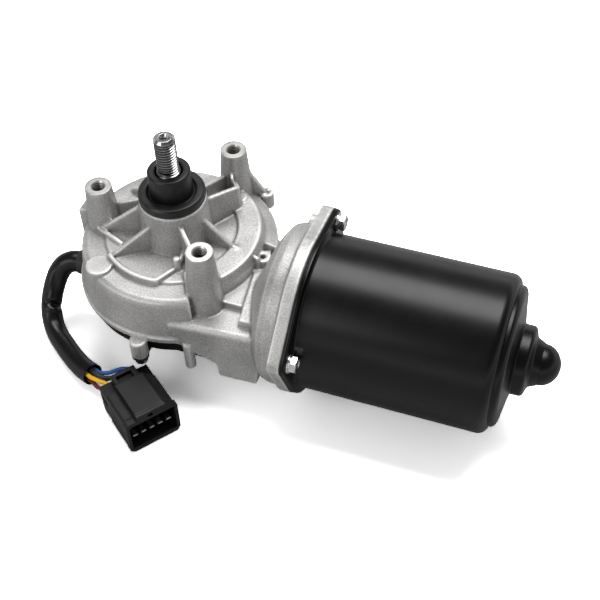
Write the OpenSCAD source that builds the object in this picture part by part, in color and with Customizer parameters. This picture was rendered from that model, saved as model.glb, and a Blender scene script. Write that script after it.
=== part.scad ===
// Windscreen wiper motor with a two-stage reduction.
// Origin: on the output shaft axis, in the plane of the three standoff faces.
// +Z runs up the output shaft, +X runs along the motor can. Millimetres.

/* [Output shaft] */
// Radius of the output shaft
shaft_r = 6; // [5:0.25:6.5]
// Height of the shaft tip above the standoff faces
shaft_tip = 43; // [38:1:55]
// Height of the rubber boot above the tower rim
boot_h = 20; // [17:1:24]
// Outer radius of the boot collar
boot_r = 12; // [11:0.5:14]
// Thickness of the bush wall that carries the output shaft
bush_wall = 3; // [2:0.5:3.5]

/* [Gear housing] */
// Outer radius of the shaft tower at its rim
tower_r = 19; // [17:0.5:20.5]
// Depth of the roof below the standoff faces
roof_depth = 26.5; // [24:0.5:28]
// Depth of the open rim below the standoff faces
rim_depth = 57; // [56:0.5:60]
// Outer radius of the gear housing at its rim
drum_r = 58; // [57:0.5:60]
// Thickness of the stiffening ribs
rib_t = 2.6; // [2:0.2:4]
// Height of the bead round the open rim
bead_h = 4; // [3:0.5:5]

/* [Standoffs] */
// Distance of the left standoff from the shaft axis
left_post = 43.8; // [42:0.1:45]
// Distance of the rear standoff from the shaft axis
rear_post = 50.3; // [49:0.1:51.5]
// Distance of the front standoff from the shaft axis
front_post = 46.5; // [45:0.1:48]
// Radius of a standoff at its face
post_r = 7.6; // [6.5:0.1:8.5]
// Growth of a standoff's radius for each millimetre of depth
post_taper = 0.07; // [0.03:0.01:0.08]
// Core radius of the M8 thread in a standoff
thread_core_r = 3.4; // [2.5:0.05:4]
// Depth of the threaded hole in the left standoff
thread_depth = 20; // [18:0.5:23]

/* [Motor] */
// Distance from the output shaft axis to the motor axis
motor_off = 17; // [16.5:0.5:18]
// Depth of the motor axis below the standoff faces
motor_depth = 45; // [44.5:0.5:46]
// Outer radius of the steel can
can_r = 44; // [42:0.5:46]
// Wall of the steel can
can_t = 1.8; // [1.2:0.1:2.4]
// Where the can leaves its mounting flange
can_start = 91; // [90:0.5:94]
// Length of the can's straight wall
can_len = 97; // [90:1:110]
// Radius of the flange ring
flange_r = 48.5; // [47.5:0.5:50]
// Radius of each screw ear on the flange
ear_r = 8; // [7:0.5:9]
// Radius of the armature shaft
arm_shaft_r = 4; // [3.5:0.25:4.25]
// Radius of the laminated armature core
core_r = 30; // [27:0.5:31]
// Number of armature slots
core_slots = 12; // [8:1:16]

/* [Gear train] */
// Module of every gear
gear_m = 1.25; // [1.25:0.05:1.35]
// Teeth on the worm wheel
wheel_teeth = 20; // [18:1:21]
// Teeth on the idler pinion
pinion_teeth = 14; // [13:1:16]
// Teeth on the output gear
output_teeth = 42; // [41:1:44]
// Face width of the worm wheel
wheel_w = 8; // [6:0.5:9]
// Face width of the output gear
output_w = 8; // [6:0.5:8.5]
// Radius of the fixed idler pin
idler_pin_r = 3; // [2.5:0.25:3.5]

/* [Cover and lead] */
// Depth of the plastic cover below the housing rim
cover_depth = 10; // [9.5:0.5:13]
// Wall of the plastic cover
cover_t = 2.5; // [2:0.25:3]
// Radius of the protective sleeve on the lead
sleeve_r = 6.5; // [5.5:0.25:7]
// Radius of one insulated wire
wire_r = 1.3; // [1:0.1:1.6]
// Width of the plug housing
plug_w = 32; // [31:0.5:36]
// Length of the plug housing
plug_l = 36; // [34:0.5:42]
// Height of the plug housing
plug_h = 29; // [27:0.5:31]
// Spacing of the plug terminals
plug_pitch = 5.2; // [5:0.1:5.6]

/* [Hidden] */
$fn = 96;

// Clearances
run_gap = 0.05;
free_gap = 0.5;
gear_backlash = 0.3;
lead_in = 0.7;

// Directions of the standoffs and the depths of their threaded holes
post_1 = [left_post, 186.4, thread_depth];
post_2 = [rear_post, 69.3, thread_depth - 1.5];
post_3 = [front_post, -48.8, thread_depth - 3];
posts = [post_1, post_2, post_3];

// Levels of the housing
roof_z = -roof_depth;
ring_z = roof_z - 1.5;
platform_z = roof_z + 2;
shelf_z = roof_z - 10;
roof_t = 6.5;
cavity_z = roof_z - roof_t;
step_z = shelf_z - 8;
rim_z = -rim_depth;
bead_z = rim_z + bead_h;
foot_r = tower_r + 1.5;
pilot_h = 3;
bead_r = drum_r + 1.5;
cavity_r = drum_r - 4.5;
upper_cavity_r = 45;

// Motor axis and its stations along X
motor_y = -motor_off;
motor_z = -motor_depth;
flange_t = 7;
gasket_t = 0.6;
can_flange_t = 2.4;
can_flange_x = can_start - can_flange_t;
gasket_x = can_flange_x - gasket_t;
flange_x = gasket_x - flange_t;
neck_x = flange_x - 26;
bearing_w = 7;
bearing_r = 11;
ball_pitch_r = 7.5;
bearing_ball_r = 2.02;
bell_r = 46.6;
bell_bore_r = 38.5;
bearing_x1 = flange_x - 14;
bearing_x0 = bearing_x1 - bearing_w;
can_wall_end = can_start + can_len;
can_end_x = can_wall_end + 12;
bush_seat_r = 9;
ball_r = 4;
cap_boss_r = 19.3;
cap_boss_x = can_end_x + 3.5;
cap_tip_x = cap_boss_x + 22.5;
ears = [48, 168, 288];
screw_r = 3;
washer_r = 5.5;
can_root = 0.4;
// The screws sit by the flange, and their washers clear the can's root
screw_c = max(flange_r + 1.5, can_r + can_root + washer_r + 0.1);
ear_c = screw_c - 0.5;

// Gear train geometry
worm_r = 4.75;
worm_lead = PI * gear_m;
wheel_r = gear_m * wheel_teeth / 2;
pinion_r = gear_m * pinion_teeth / 2;
output_r = gear_m * output_teeth / 2;
stage_2 = pinion_r + output_r;
idler_y = motor_y - worm_r - wheel_r;
idler_x = sqrt(stage_2 * stage_2 - idler_y * idler_y);
wheel_z0 = motor_z - wheel_w / 2;
wheel_z1 = motor_z + wheel_w / 2;
gear_gap = 4;
output_z1 = wheel_z0 - gear_gap;
output_z0 = output_z1 - output_w;
pinion_z0 = output_z0 - 0.5;
shaft_bottom = output_z0 - 1;
lower_bush_z0 = motor_z + worm_r + gear_m + 3;
lower_bush_z1 = cavity_z + 12;
upper_bush_z1 = -5;
upper_bush_z0 = -15;
bush_r = shaft_r + run_gap + bush_wall;
worm_turns = 4.5;
worm_l = worm_lead * worm_turns;
worm_x0 = idler_x - worm_l / 2;
end_bush_l = 10;
end_bush_x1 = worm_x0 - 3;
end_bush_x0 = end_bush_x1 - end_bush_l;
end_bush_r = arm_shaft_r + run_gap + 1.45;
pad_t = 2;
commutator_x0 = flange_x - 5;
commutator_x1 = commutator_x0 + 20;
core_x0 = can_start + 13;
core_x1 = core_x0 + 60;
shaft_end_x = cap_boss_x + 4;

// Bottom cover and lead
gasket_z = rim_z - 0.6;
cover_z = rim_z - cover_depth;
cover_r = drum_r - 2;
cover_floor_z = cover_z + cover_t;
cover_bosses = [-91, 32, 149];
cover_boss_c = cover_r + 5.2;
cover_boss_r = 5;
cover_screw_r = 1.9;
lead_dir = 191;
lead_z = -61;
grommet_r = sleeve_r + 2;
floor_z = -100;
// Route of the sleeved lead, from the grommet's end down to the surface
lead_path = [
    [-63, -12.2, -61], [-66.5, -12.9, -61], [-71, -15, -62.8], [-74.3, -18.5, -67],
    [-76, -23, -72.7], [-76.6, -28.5, -79.4], [-75.2, -34.5, -85.6], [-71.5, -40.5, -90.3],
    [-66, -46, -92.9], [-59.6, -51, -93.4], [-53, -56, -93.4], [-46.3, -60.5, -93.2],
    [-39.5, -64.5, -92.4], [-32, -68, -90.8]
];
plug_pos = [5.1, -82.6, floor_z];
plug_yaw = -38;
plug_wall = 2;
plug_mid = 10.5;
shoulder_h = plug_h - 4;
socket_depth = 22;
plug_axis = [cos(plug_yaw), sin(plug_yaw), 0];
plug_across = [-sin(plug_yaw), cos(plug_yaw), 0];
entry_depth = 4;
lead_end = lead_path[len(lead_path) - 1];
lead_out = (lead_end - lead_path[len(lead_path) - 2]) / norm(lead_end - lead_path[len(lead_path) - 2]);
lead_side = cross([0, 0, 1], lead_out) / norm(cross([0, 0, 1], lead_out));
lead_up = cross(lead_out, lead_side);

// Points of an arc, from one angle to another
function arc(r, a, b, n, c = [0, 0]) =
    [for (i = [0:n]) c + r * [cos(a + (b - a) * i / n), sin(a + (b - a) * i / n)]];

// Involute of an angle, in degrees
function involute(a) = tan(a) * 180 / PI - a;

// Half the angle that a tooth fills at radius r, in degrees
function half_tooth(r, pitch_r, teeth, thin) =
    90 / teeth - thin / pitch_r * 45 / PI + involute(20)
    - involute(acos(min(1, pitch_r * cos(20) / r)));

// Outline of a gear with involute flanks
function gear_outline(teeth, thin) = let (
    pitch_r = gear_m * teeth / 2,
    root_r = pitch_r - 1.25 * gear_m,
    start_r = max(root_r, pitch_r * cos(20)),
    tip_r = pitch_r + gear_m,
    radii = [for (i = [0:4]) start_r + (tip_r - start_r) * i / 4],
    foot = half_tooth(start_r, pitch_r, teeth, thin)
) [for (t = [0:teeth - 1]) let (mid = t * 360 / teeth) each concat(
    [root_r * [cos(mid - foot), sin(mid - foot)]],
    [for (r = radii) let (a = mid - half_tooth(r, pitch_r, teeth, thin)) r * [cos(a), sin(a)]],
    [for (i = [4:-1:0]) let (r = radii[i], a = mid + half_tooth(r, pitch_r, teeth, thin))
        r * [cos(a), sin(a)]],
    [root_r * [cos(mid + foot), sin(mid + foot)]]
)];

// A cross-section ring round a path point, square to the path
function ring(p, t, r, sides) = let (
    s = cross(t, [0, 0, 1]) / norm(cross(t, [0, 0, 1])),
    u = cross(s, t)
) [for (i = [0:sides - 1]) p + r * (s * cos(360 * i / sides) + u * sin(360 * i / sides))];

// Route of a wire from its place in the sleeve's end to its entry in the back of the plug
function wire_path(side, up, slot, middle) = let (
    out = lead_end + run_gap * lead_out + side * lead_side + up * lead_up,
    entry = plug_pos + [0, 0, plug_mid] - plug_l / 2 * plug_axis + slot * plug_pitch * plug_across
) concat([out, out + 3 * lead_out], middle,
    [entry - 4 * plug_axis, entry, entry + (entry_depth - run_gap) * plug_axis]);

// Moves children onto the motor axis, with their own Z along +X
module on_motor_axis(x = 0) {
    translate([x, motor_y, motor_z]) rotate([90, 0, 90]) children();
}

// A tube along a path
module sweep(path, r, sides) {
    n = len(path);
    steps = [for (i = [0:n - 1]) path[min(i + 1, n - 1)] - path[max(i - 1, 0)]];
    rings = [for (i = [0:n - 1]) ring(path[i], steps[i] / norm(steps[i]), r, sides)];
    points = [for (section = rings) each section];
    walls = [for (i = [0:n - 2], j = [0:sides - 1]) let (
        k = (j + 1) % sides, a = i * sides, b = a + sides
    ) each [[a + j, a + k, b + k], [a + j, b + k, b + j]]];
    first = [for (j = [sides - 1:-1:0]) j];
    last = [for (j = [0:sides - 1]) (n - 1) * sides + j];
    polyhedron(points, concat(walls, [first, last]), convexity = 6);
}

// An upright web between two points given as [x, y, top]
module rib(a, b, bottom, t = rib_t) {
    run = [b[0] - a[0], b[1] - a[1]];
    translate([a[0], a[1], 0]) rotate([90, 0, atan2(run[1], run[0])])
        linear_extrude(t, center = true)
            polygon([[0, bottom], [norm(run), bottom], [norm(run), b[2]], [0, a[2]]]);
}

// Position of a standoff's axis
function post_xy(post) = post[0] * [cos(post[1]), sin(post[1])];

// A tapered standoff whose face is at the origin's height
module standoff(post, depth) {
    translate([post_xy(post)[0], post_xy(post)[1], -depth])
        cylinder(h = depth, r1 = post_r + post_taper * depth, r2 = post_r);
}

// A revolved sector of the housing, from one direction to another
module sector(from, to, profile) {
    rotate([0, 0, from]) rotate_extrude(angle = to - from) polygon(profile);
}

// Outer body of the drum, higher on the left and shelved on the right
module drum_solid() {
    roof_r = 41;
    core_r1 = 35;
    foot = bead_z - 1;
    translate([0, 0, rim_z]) cylinder(h = bead_h, r = bead_r);
    translate([0, 0, rim_z + 1]) cylinder(h = roof_z - rim_z - 1, r = roof_r);
    // High left half
    sector(129, 300, [
        [core_r1, foot], [drum_r, foot], [drum_r, bead_z],
        [drum_r - 2.6, ring_z - 3.5], [drum_r - 3.6, ring_z - 1.2], [drum_r - 6, ring_z],
        [core_r1, ring_z]
    ]);
    // Platform on the right
    sector(-61, 130, [
        [core_r1, foot - 1], [50, foot - 1], [50, platform_z - 6], [48, platform_z],
        [core_r1, platform_z]
    ]);
    // Rear wall below the platform
    sector(11, 129.5, [
        [core_r1 + 2, foot - 0.5], [drum_r - 0.6, foot - 0.5], [drum_r - 0.6, shelf_z + 2],
        [48.5, platform_z - 5.25], [core_r1 + 2, platform_z - 5.25]
    ]);
}

// Low shelf between the drum and the motor bell, with its raised strip
module right_shelf() {
    translate([0, 0, rim_z + 1.5]) linear_extrude(shelf_z - rim_z - 1.5)
        polygon([[30, -34.8], [60, -34.8], [56.5, -6], [57, 0], [52, 12], [30, 0]]);
    translate([0, 0, rim_z + 4]) linear_extrude(shelf_z + 1.5 - rim_z - 4)
        polygon([[54.8, -46], [64, -46], [58, -4], [49.4, -5]]);
}

// Raised lip of the front pocket and its small post
module pocket_lip() {
    lip_top = roof_z + 3;
    translate([0, 0, roof_z - 3]) linear_extrude(lip_top - roof_z + 3)
        polygon(concat(arc(43, 228, 277, 14), arc(40.6, 277, 228, 14)));
    rib([5.2, -41.6, lip_top], [12.4, -28, lip_top], roof_z - 3, 2.4);
    rib([12.4, -28, lip_top], [12.4, -18, roof_z + 6], roof_z - 3, 2.4);
    translate([12.4, -28, roof_z - 3]) cylinder(h = 12, r = 2);
}

// Ribs that brace the tower against the standoffs and the rim
module ribs() {
    deep = roof_z - 3;
    rib([-16, 1.5, -6], [-38, -1.5, -14], deep);
    rib([-16, -6.5, -4], [-43, -13.8, -25], deep);
    rib([-43, -13.8, -23.5], [-25, -20.2, -25], deep);
    rib([-5.5, -16, -7], [-29, -32, -27], deep);
    rib([10, -14.5, -5], [26.5, -30.5, -16], deep);
    rib([16, -2.5, -6], [36, -4, -23.5], deep);
    rib([36, -4, -23.5], [52, -6, -27], shelf_z - 4, rib_t * 0.8);
    rib([15, 8, -5], [27.5, 27.5, -9], deep);
    rib([27.5, 27.5, -9.5], [18.5, 42, -19], deep);
    rib([8.5, 15, -5], [15, 42, -15], deep);
    for (a = [118, 148]) rib(
        [16 * cos(a), 16 * sin(a), -6], [46 * cos(a), 46 * sin(a), roof_z + 1], deep);
}

// Fins and small bosses on the drum
module bosses() {
    // Outer fin of the left standoff
    rib([-46, -4.6, -16], [-57.5, -4.2, -19], rim_z + 2, 9);
    // Rear standoff fin with its holed ear
    rib([22, 48, -9], [35, 52.6, -34], rim_z + 6, 3);
    difference() {
        translate([35, 52, -44]) cylinder(h = 11, r = 4.2);
        translate([35, 52, -45]) cylinder(h = 13, r = 1.5);
    }
    // Small upright rib on the rear standoff
    rib([18.5, 40, -10], [21, 35, -12], roof_z, 1.8);
    // Plain round boss beside it
    translate([26, 34, roof_z - 3]) cylinder(h = 6, r1 = 4.6, r2 = 3.6);
    // Holed boss at the end of the right rib
    difference() {
        translate([52.5, -1.2, rim_z + 6]) cylinder(h = shelf_z + 6.5 - rim_z - 6, r = 4.8);
        translate([52.5, -1.2, shelf_z]) cylinder(h = 20, r = 1.6);
    }
    // Round lug at the front left
    translate([-31, -39, bead_z - 1]) cylinder(h = roof_z + 0.5 - bead_z + 1, r = 7.5);
    // Bosses that take the cover screws
    difference() {
        at_cover_screws(cover_z) cylinder(h = rim_z + 2.2 - cover_z, r = cover_boss_r);
        cover_room();
    }
}

// Places children at each cover screw
module at_cover_screws(z) {
    for (a = cover_bosses) translate([cover_boss_c * cos(a), cover_boss_c * sin(a), z]) children();
}

// Room that the casting leaves for the plastic cover
module cover_room() {
    translate([0, 0, rim_z - 40]) cylinder(h = 41, r = cover_r + 0.15);
}

// Deep block below the front standoff, and the peg beside the cover
module front_block() {
    peg_dir = -64.124;
    peg_c = cover_r + 3.573;
    top = shelf_z - 4.5;
    edge = 3;
    difference() {
        block_form(top, edge);
        cover_room();
    }
    translate([peg_c * cos(peg_dir), peg_c * sin(peg_dir), rim_z - 19]) cylinder(h = 20, r = 3.2);
}

module block_form(top, edge) {
    intersection() {
        translate([0, -20, 0]) rotate([90, 0, 0]) linear_extrude(60) polygon([
            [16, top], [69, top], [69, rim_z], [65, rim_z - 23],
            [43, rim_z - 22], [42, rim_z - 12], [16, rim_z + 1.5]
        ]);
        translate([16, -55.5, 0]) rotate([0, 0, 3.3]) rotate([90, 0, 90])
            translate([0, 0, -4]) linear_extrude(62)
                polygon(concat(
                    [[30, top], [30, rim_z - 24], [0, rim_z - 24]],
                    arc(edge, 180, 90, 6, [edge, top - edge])
                ));
    }
}

// Bell that joins the drum to the motor flange
module bell() {
    difference() {
        on_motor_axis() rotate_extrude() polygon([
            [0, 40], [11, neck_x], [29.5, neck_x + 7], [38.5, neck_x + 11], [44.6, neck_x + 15],
            [bell_r - 0.6, neck_x + 19], [bell_r, flange_x + 1], [0, flange_x + 1]
        ]);
        cover_room();
    }
}

// Ring with three rounded ears, whose flanks cut a little into both circles
module ear_plate(r, lug_r) {
    lean = acos((r - lug_r) / ear_c);
    inset = 0.1;
    circle(r);
    for (a = ears) {
        c = ear_c * [cos(a), sin(a)];
        translate(c) circle(lug_r);
        polygon([
            (r - inset) * [cos(a - lean), sin(a - lean)],
            c + (lug_r - inset) * [cos(a - lean), sin(a - lean)],
            c + (lug_r - inset) * [cos(a + lean), sin(a + lean)],
            (r - inset) * [cos(a + lean), sin(a + lean)]
        ]);
    }
}

// Places children at each motor screw
module at_motor_screws(x) {
    on_motor_axis(x) for (a = ears) rotate([0, 0, a]) translate([screw_c, 0, 0]) children();
}

// Everything that is cut out of the casting
module housing_cuts() {
    // Gear chamber, open at the bottom, with room for the worm wheel
    translate([0, 0, step_z - 1]) cylinder(h = cavity_z - step_z + 1, r = upper_cavity_r);
    translate([0, 0, rim_z - 1]) cylinder(h = step_z - rim_z + 1, r = cavity_r);
    translate([idler_x, idler_y, step_z - 2])
        cylinder(h = wheel_z1 + 1 - step_z + 2, r = wheel_r + gear_m + 0.8);
    // Space inside the bell
    on_motor_axis() rotate_extrude() polygon([
        [0, bearing_x1], [24, bearing_x1], [bell_bore_r, bearing_x1 + 7],
        [bell_bore_r, gasket_x + 1], [0, gasket_x + 1]
    ]);
    // Ball bearing seat and the passage of the armature shaft
    on_motor_axis(bearing_x0) cylinder(h = bearing_w + 1, r = bearing_r);
    on_motor_axis(30) cylinder(h = bearing_x0 - 29, r = worm_r + gear_m + 0.9);
    // Output shaft bore, bush seats and seal pocket
    translate([0, 0, cavity_z - 6]) cylinder(h = -cavity_z + 7, r = shaft_r + 1);
    translate([0, 0, upper_bush_z0]) cylinder(h = 30, r = bush_r);
    translate([0, 0, -60]) cylinder(h = lower_bush_z1 + 60, r = bush_r);
    translate([0, 0, -2.5]) cylinder(h = 4, r = boot_r - 1);
    // Threaded holes in the standoff faces
    for (post = posts) translate([post_xy(post)[0], post_xy(post)[1], 0]) {
        translate([0, 0, -post[2]]) cylinder(h = post[2] + 1, r = thread_core_r);
        translate([0, 0, -lead_in])
            cylinder(h = lead_in + 0.01, r1 = thread_core_r, r2 = thread_core_r + lead_in);
    }
    // Holes for the motor and cover screws
    at_motor_screws(flange_x - 1) cylinder(h = flange_t + 2, r = screw_r);
    at_cover_screws(cover_z - 1) cylinder(h = 11, r = cover_screw_r);
    // Notch for the cable grommet
    at_grommet(40) cylinder(h = 40, r = grommet_r);
}

// Chamber side posts: worm end bearing block and idler pin boss
module inner_posts() {
    block_bottom = motor_z - 6.5;
    translate([end_bush_x0 - pad_t - 2, motor_y - 8, block_bottom])
        cube([end_bush_l + pad_t + 2, 16, cavity_z + 1 - block_bottom]);
    translate([idler_x, idler_y, wheel_z1 + free_gap])
        cylinder(h = cavity_z + 1 - wheel_z1 - free_gap, r = idler_pin_r + 3);
    translate([0, 0, lower_bush_z0]) cylinder(h = cavity_z + 1 - lower_bush_z0, r = bush_r + 2.5);
}

// Tower round the output shaft, with its machined register at the top
module tower() {
    translate([0, 0, roof_z]) cylinder(h = roof_depth - pilot_h, r1 = foot_r, r2 = tower_r);
    translate([0, 0, -pilot_h]) cylinder(h = pilot_h, r = tower_r);
}

module gear_housing() {
    color("silver") difference() {
        union() {
            difference() {
                union() {
                    drum_solid();
                    right_shelf();
                    front_block();
                    bell();
                    tower();
                    standoff(post_1, -bead_z - 3);
                    standoff(post_2, -bead_z - 3);
                    standoff(post_3, -shelf_z + 5);
                    pocket_lip();
                    ribs();
                    bosses();
                    on_motor_axis(flange_x) linear_extrude(flange_t) ear_plate(flange_r, ear_r);
                    on_motor_axis(flange_x - 5) rotate([0, 0, ears[0]]) translate([screw_c - 4, 0, 0])
                        cylinder(h = 6, r = 5.5);
                }
                housing_cuts();
            }
            inner_posts();
        }
        // Bores in the inner posts
        on_motor_axis(end_bush_x0) cylinder(h = end_bush_l + 1, r = end_bush_r);
        on_motor_axis(end_bush_x0 - pad_t) cylinder(h = pad_t + 1, r = arm_shaft_r + 1);
        translate([idler_x, idler_y, rim_z]) cylinder(h = cavity_z + 3.5 - rim_z, r = idler_pin_r);
        translate([0, 0, -60]) cylinder(h = lower_bush_z1 + 60, r = bush_r);
    }
}

module tower_upper_bush() {
    color("darkgoldenrod") translate([0, 0, upper_bush_z0])
        difference() {
            cylinder(h = upper_bush_z1 - upper_bush_z0, r = bush_r);
            translate([0, 0, -1]) cylinder(h = 30, r = shaft_r + run_gap);
        }
}

module tower_lower_bush() {
    color("darkgoldenrod") translate([0, 0, lower_bush_z0])
        difference() {
            cylinder(h = lower_bush_z1 - lower_bush_z0, r = bush_r);
            translate([0, 0, -1]) cylinder(h = 30, r = shaft_r + run_gap);
        }
}

module shaft_seal_boot() {
    rim_r = tower_r - 0.2;
    mouth_r = shaft_r + 2.2;
    color([0.06, 0.06, 0.06]) rotate_extrude() polygon([
        [shaft_r + 0.3, 8], [shaft_r + 3.6, 8], [shaft_r + 3.6, 0], [boot_r - 1.2, 0],
        [boot_r - 1.2, -2.3], [boot_r - 1, -2.3], [boot_r - 1, 0],
        [rim_r, 0], [rim_r, 4.6], [rim_r - 1, 5.6], [boot_r + 2.2, 5.6], [boot_r + 1.4, 3.6],
        [boot_r, 3.6], [boot_r, boot_h - 1], [boot_r - 1, boot_h], [mouth_r, boot_h],
        [mouth_r, boot_h - 3.6], [shaft_r + 0.3, boot_h - 3.6]
    ]);
}

module output_shaft() {
    collar_z = boot_h - 3;
    color("lightgray") rotate_extrude() polygon([
        [0, shaft_bottom], [shaft_r - 0.8, shaft_bottom], [shaft_r, shaft_bottom + 0.8],
        [shaft_r, upper_bush_z1 + 1.1], [shaft_r - 0.7, upper_bush_z1 + 1.1],
        [shaft_r - 0.7, upper_bush_z1 + 2.3], [shaft_r, upper_bush_z1 + 2.3],
        [shaft_r, collar_z], [shaft_r + 1.5, collar_z], [shaft_r + 1.5, collar_z + 2.4],
        [shaft_r, collar_z + 3.4], [shaft_r, shaft_tip - 1.6], [shaft_r - 1, shaft_tip],
        [2, shaft_tip], [1.6, shaft_tip - 3], [0, shaft_tip - 3.6]
    ]);
}

module shaft_thrust_washer() {
    color("gainsboro") translate([0, 0, upper_bush_z1]) difference() {
        cylinder(h = 1, r = bush_r - 0.1);
        translate([0, 0, -1]) cylinder(h = 3, r = shaft_r + run_gap);
    }
}

module shaft_circlip() {
    color("dimgray") translate([0, 0, upper_bush_z1 + 1.1]) difference() {
        cylinder(h = 1.2, r = shaft_r + 1.6);
        translate([0, 0, -1]) cylinder(h = 4, r = shaft_r - 0.7);
        translate([0, -1.5, -1]) cube([20, 3, 4]);
    }
}

module output_gear() {
    web_r = output_r - 6;
    color("ivory") translate([0, 0, output_z0]) difference() {
        linear_extrude(output_w) polygon(gear_outline(output_teeth, gear_backlash));
        // Web recess above, with the hub left standing
        translate([0, 0, output_w - 2]) difference() {
            cylinder(h = 3, r = web_r);
            cylinder(h = 3, r = shaft_r + 5);
        }
        translate([0, 0, -1]) cylinder(h = output_w + 2, r = shaft_r);
    }
}

module park_disc() {
    color("goldenrod") translate([0, 0, output_z0 - 1]) difference() {
        cylinder(h = 1, r = output_r - 5);
        translate([0, 0, -1]) cylinder(h = 3, r = shaft_r + 4);
        // Gap in the track that stops the motor at its park position
        rotate([0, 0, 60]) translate([output_r - 12, -3, -1]) cube([5, 6, 3]);
    }
}

module idler_pin() {
    color("gainsboro") translate([idler_x, idler_y, pinion_z0 - 2])
        cylinder(h = cavity_z + 3.5 - pinion_z0 + 2, r = idler_pin_r);
}

// Tooth space of the wheel faces the worm; its teeth lean with the worm's thread
module idler_worm_wheel() {
    lean = 360 * tan(asin(worm_lead / (2 * PI * worm_r))) * wheel_w / (2 * PI * wheel_r);
    color("ivory") translate([idler_x, idler_y, motor_z]) difference() {
        rotate([0, 0, 90 + 180 / wheel_teeth - lean / 2]) translate([0, 0, -wheel_w / 2])
            linear_extrude(wheel_w, twist = -lean, slices = 3, $fn = 12)
                polygon(gear_outline(wheel_teeth, gear_backlash));
        translate([0, 0, -wheel_w]) cylinder(h = 2 * wheel_w, r = idler_pin_r + run_gap);
    }
}

module idler_pinion() {
    mesh = atan2(-idler_y, -idler_x);
    // A tooth of the pinion lies in the output gear's tooth space
    out_side = mesh + 180;
    phase = (out_side * output_teeth / 360 - floor(out_side * output_teeth / 360)) * 360;
    color("lightgray") translate([idler_x, idler_y, pinion_z0]) difference() {
        rotate([0, 0, mesh + (phase + 180) / pinion_teeth])
            linear_extrude(wheel_z0 - pinion_z0) polygon(gear_outline(pinion_teeth, gear_backlash));
        translate([0, 0, -1]) cylinder(h = 40, r = idler_pin_r + run_gap);
    }
}

module idler_washer() {
    color("dimgray") translate([idler_x, idler_y, pinion_z0 - 1.3]) difference() {
        cylinder(h = 1, r = idler_pin_r + 2.5);
        translate([0, 0, -1]) cylinder(h = 3, r = idler_pin_r);
    }
}

// Height of the worm's flank over its root, for a turn fraction from the thread's middle
function thread_height(turn) = let (
    off = abs(turn) * worm_lead,
    half = worm_lead / 4 - gear_backlash / 4,
    tip = half - gear_m * tan(20),
    foot = half + 1.15 * gear_m * tan(20)
) off <= tip ? 1 : off >= foot ? 0 : (foot - off) / (foot - tip);

module worm() {
    root_r = worm_r - 1.15 * gear_m;
    tip_r = worm_r + gear_m;
    steps = 30;
    // Thread middle faces the worm wheel at the wheel's own station along X
    section = [for (i = [0:steps - 1]) let (
        turn = i / steps - (i > steps / 2 ? 1 : 0),
        r = root_r + (tip_r - root_r) * thread_height(turn)
    ) r * [cos(360 * i / steps), sin(360 * i / steps)]];
    color("gainsboro") on_motor_axis(worm_x0)
        difference() {
            rotate([0, 0, 180 - 360 * worm_turns / 2]) linear_extrude(
                worm_l, twist = -360 * worm_turns, slices = 54, $fn = 12) polygon(section);
            translate([0, 0, -1]) cylinder(h = worm_l + 2, r = 2.4);
        }
}

module armature_shaft() {
    color("lightgray") {
        on_motor_axis(worm_x0) cylinder(h = worm_l, r = 2.4);
        on_motor_axis(end_bush_x0) cylinder(h = worm_x0 - end_bush_x0, r = arm_shaft_r);
        on_motor_axis(worm_x0 + worm_l) cylinder(h = shaft_end_x - worm_x0 - worm_l, r = arm_shaft_r);
    }
}

module armature_core() {
    color("slategray") on_motor_axis(core_x0) linear_extrude(core_x1 - core_x0) difference() {
        circle(core_r);
        circle(arm_shaft_r);
        for (i = [0:core_slots - 1]) rotate([0, 0, i * 360 / core_slots]) {
            translate([core_r - 8, 0]) circle(3.2, $fn = 24);
            translate([core_r - 8, -1.2]) square([10, 2.4]);
        }
    }
}

module armature_windings() {
    color("chocolate") for (x = [core_x0 - 8, core_x1]) on_motor_axis(x) difference() {
        cylinder(h = 8, r = core_r - 3.5);
        translate([0, 0, -1]) cylinder(h = 10, r = arm_shaft_r + 4);
    }
    color("chocolate") for (i = [0:core_slots - 1]) on_motor_axis(core_x0 - 4)
        rotate([0, 0, i * 360 / core_slots]) translate([core_r - 8, 0, 0])
            cylinder(h = core_x1 - core_x0 + 8, r = 2.9, $fn = 24);
}

module commutator() {
    bars = 2 * core_slots;
    groove = 0.5;
    color("peru") on_motor_axis(commutator_x0) difference() {
        union() {
            cylinder(h = commutator_x1 - commutator_x0, r = 13);
            translate([0, 0, commutator_x1 - commutator_x0 - 2]) cylinder(h = 2, r = 15);
        }
        for (i = [0:bars - 1]) rotate([0, 0, i * 360 / bars])
            translate([11.5, -groove / 2, -1]) cube([5, groove, 30]);
        translate([0, 0, -1]) cylinder(h = 30, r = arm_shaft_r);
    }
}

// Rings of the ball bearing that carries the armature at the bell
module bearing_race(r_in, r_out) {
    on_motor_axis(bearing_x0) difference() {
        cylinder(h = bearing_w, r = r_out);
        translate([0, 0, -1]) cylinder(h = bearing_w + 2, r = r_in);
        translate([0, 0, bearing_w / 2]) rotate_extrude()
            translate([ball_pitch_r, 0]) circle(bearing_ball_r + 0.08, $fn = 32);
    }
}

module bearing_inner_ring() {
    color("lightgray") bearing_race(arm_shaft_r, ball_pitch_r - 1.3);
}

module bearing_outer_ring() {
    color("lightgray") bearing_race(ball_pitch_r + 1.3, bearing_r);
}

module bearing_balls() {
    balls = 7;
    color("white") for (i = [0:balls - 1]) on_motor_axis(bearing_x0 + bearing_w / 2)
        rotate([0, 0, i * 360 / balls]) translate([ball_pitch_r, 0, 0])
            sphere(bearing_ball_r, $fn = 32);
}

module worm_end_bush() {
    color("darkgoldenrod") on_motor_axis(end_bush_x0) difference() {
        cylinder(h = end_bush_l, r = end_bush_r);
        translate([0, 0, -1]) cylinder(h = end_bush_l + 2, r = arm_shaft_r + run_gap);
    }
}

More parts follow.
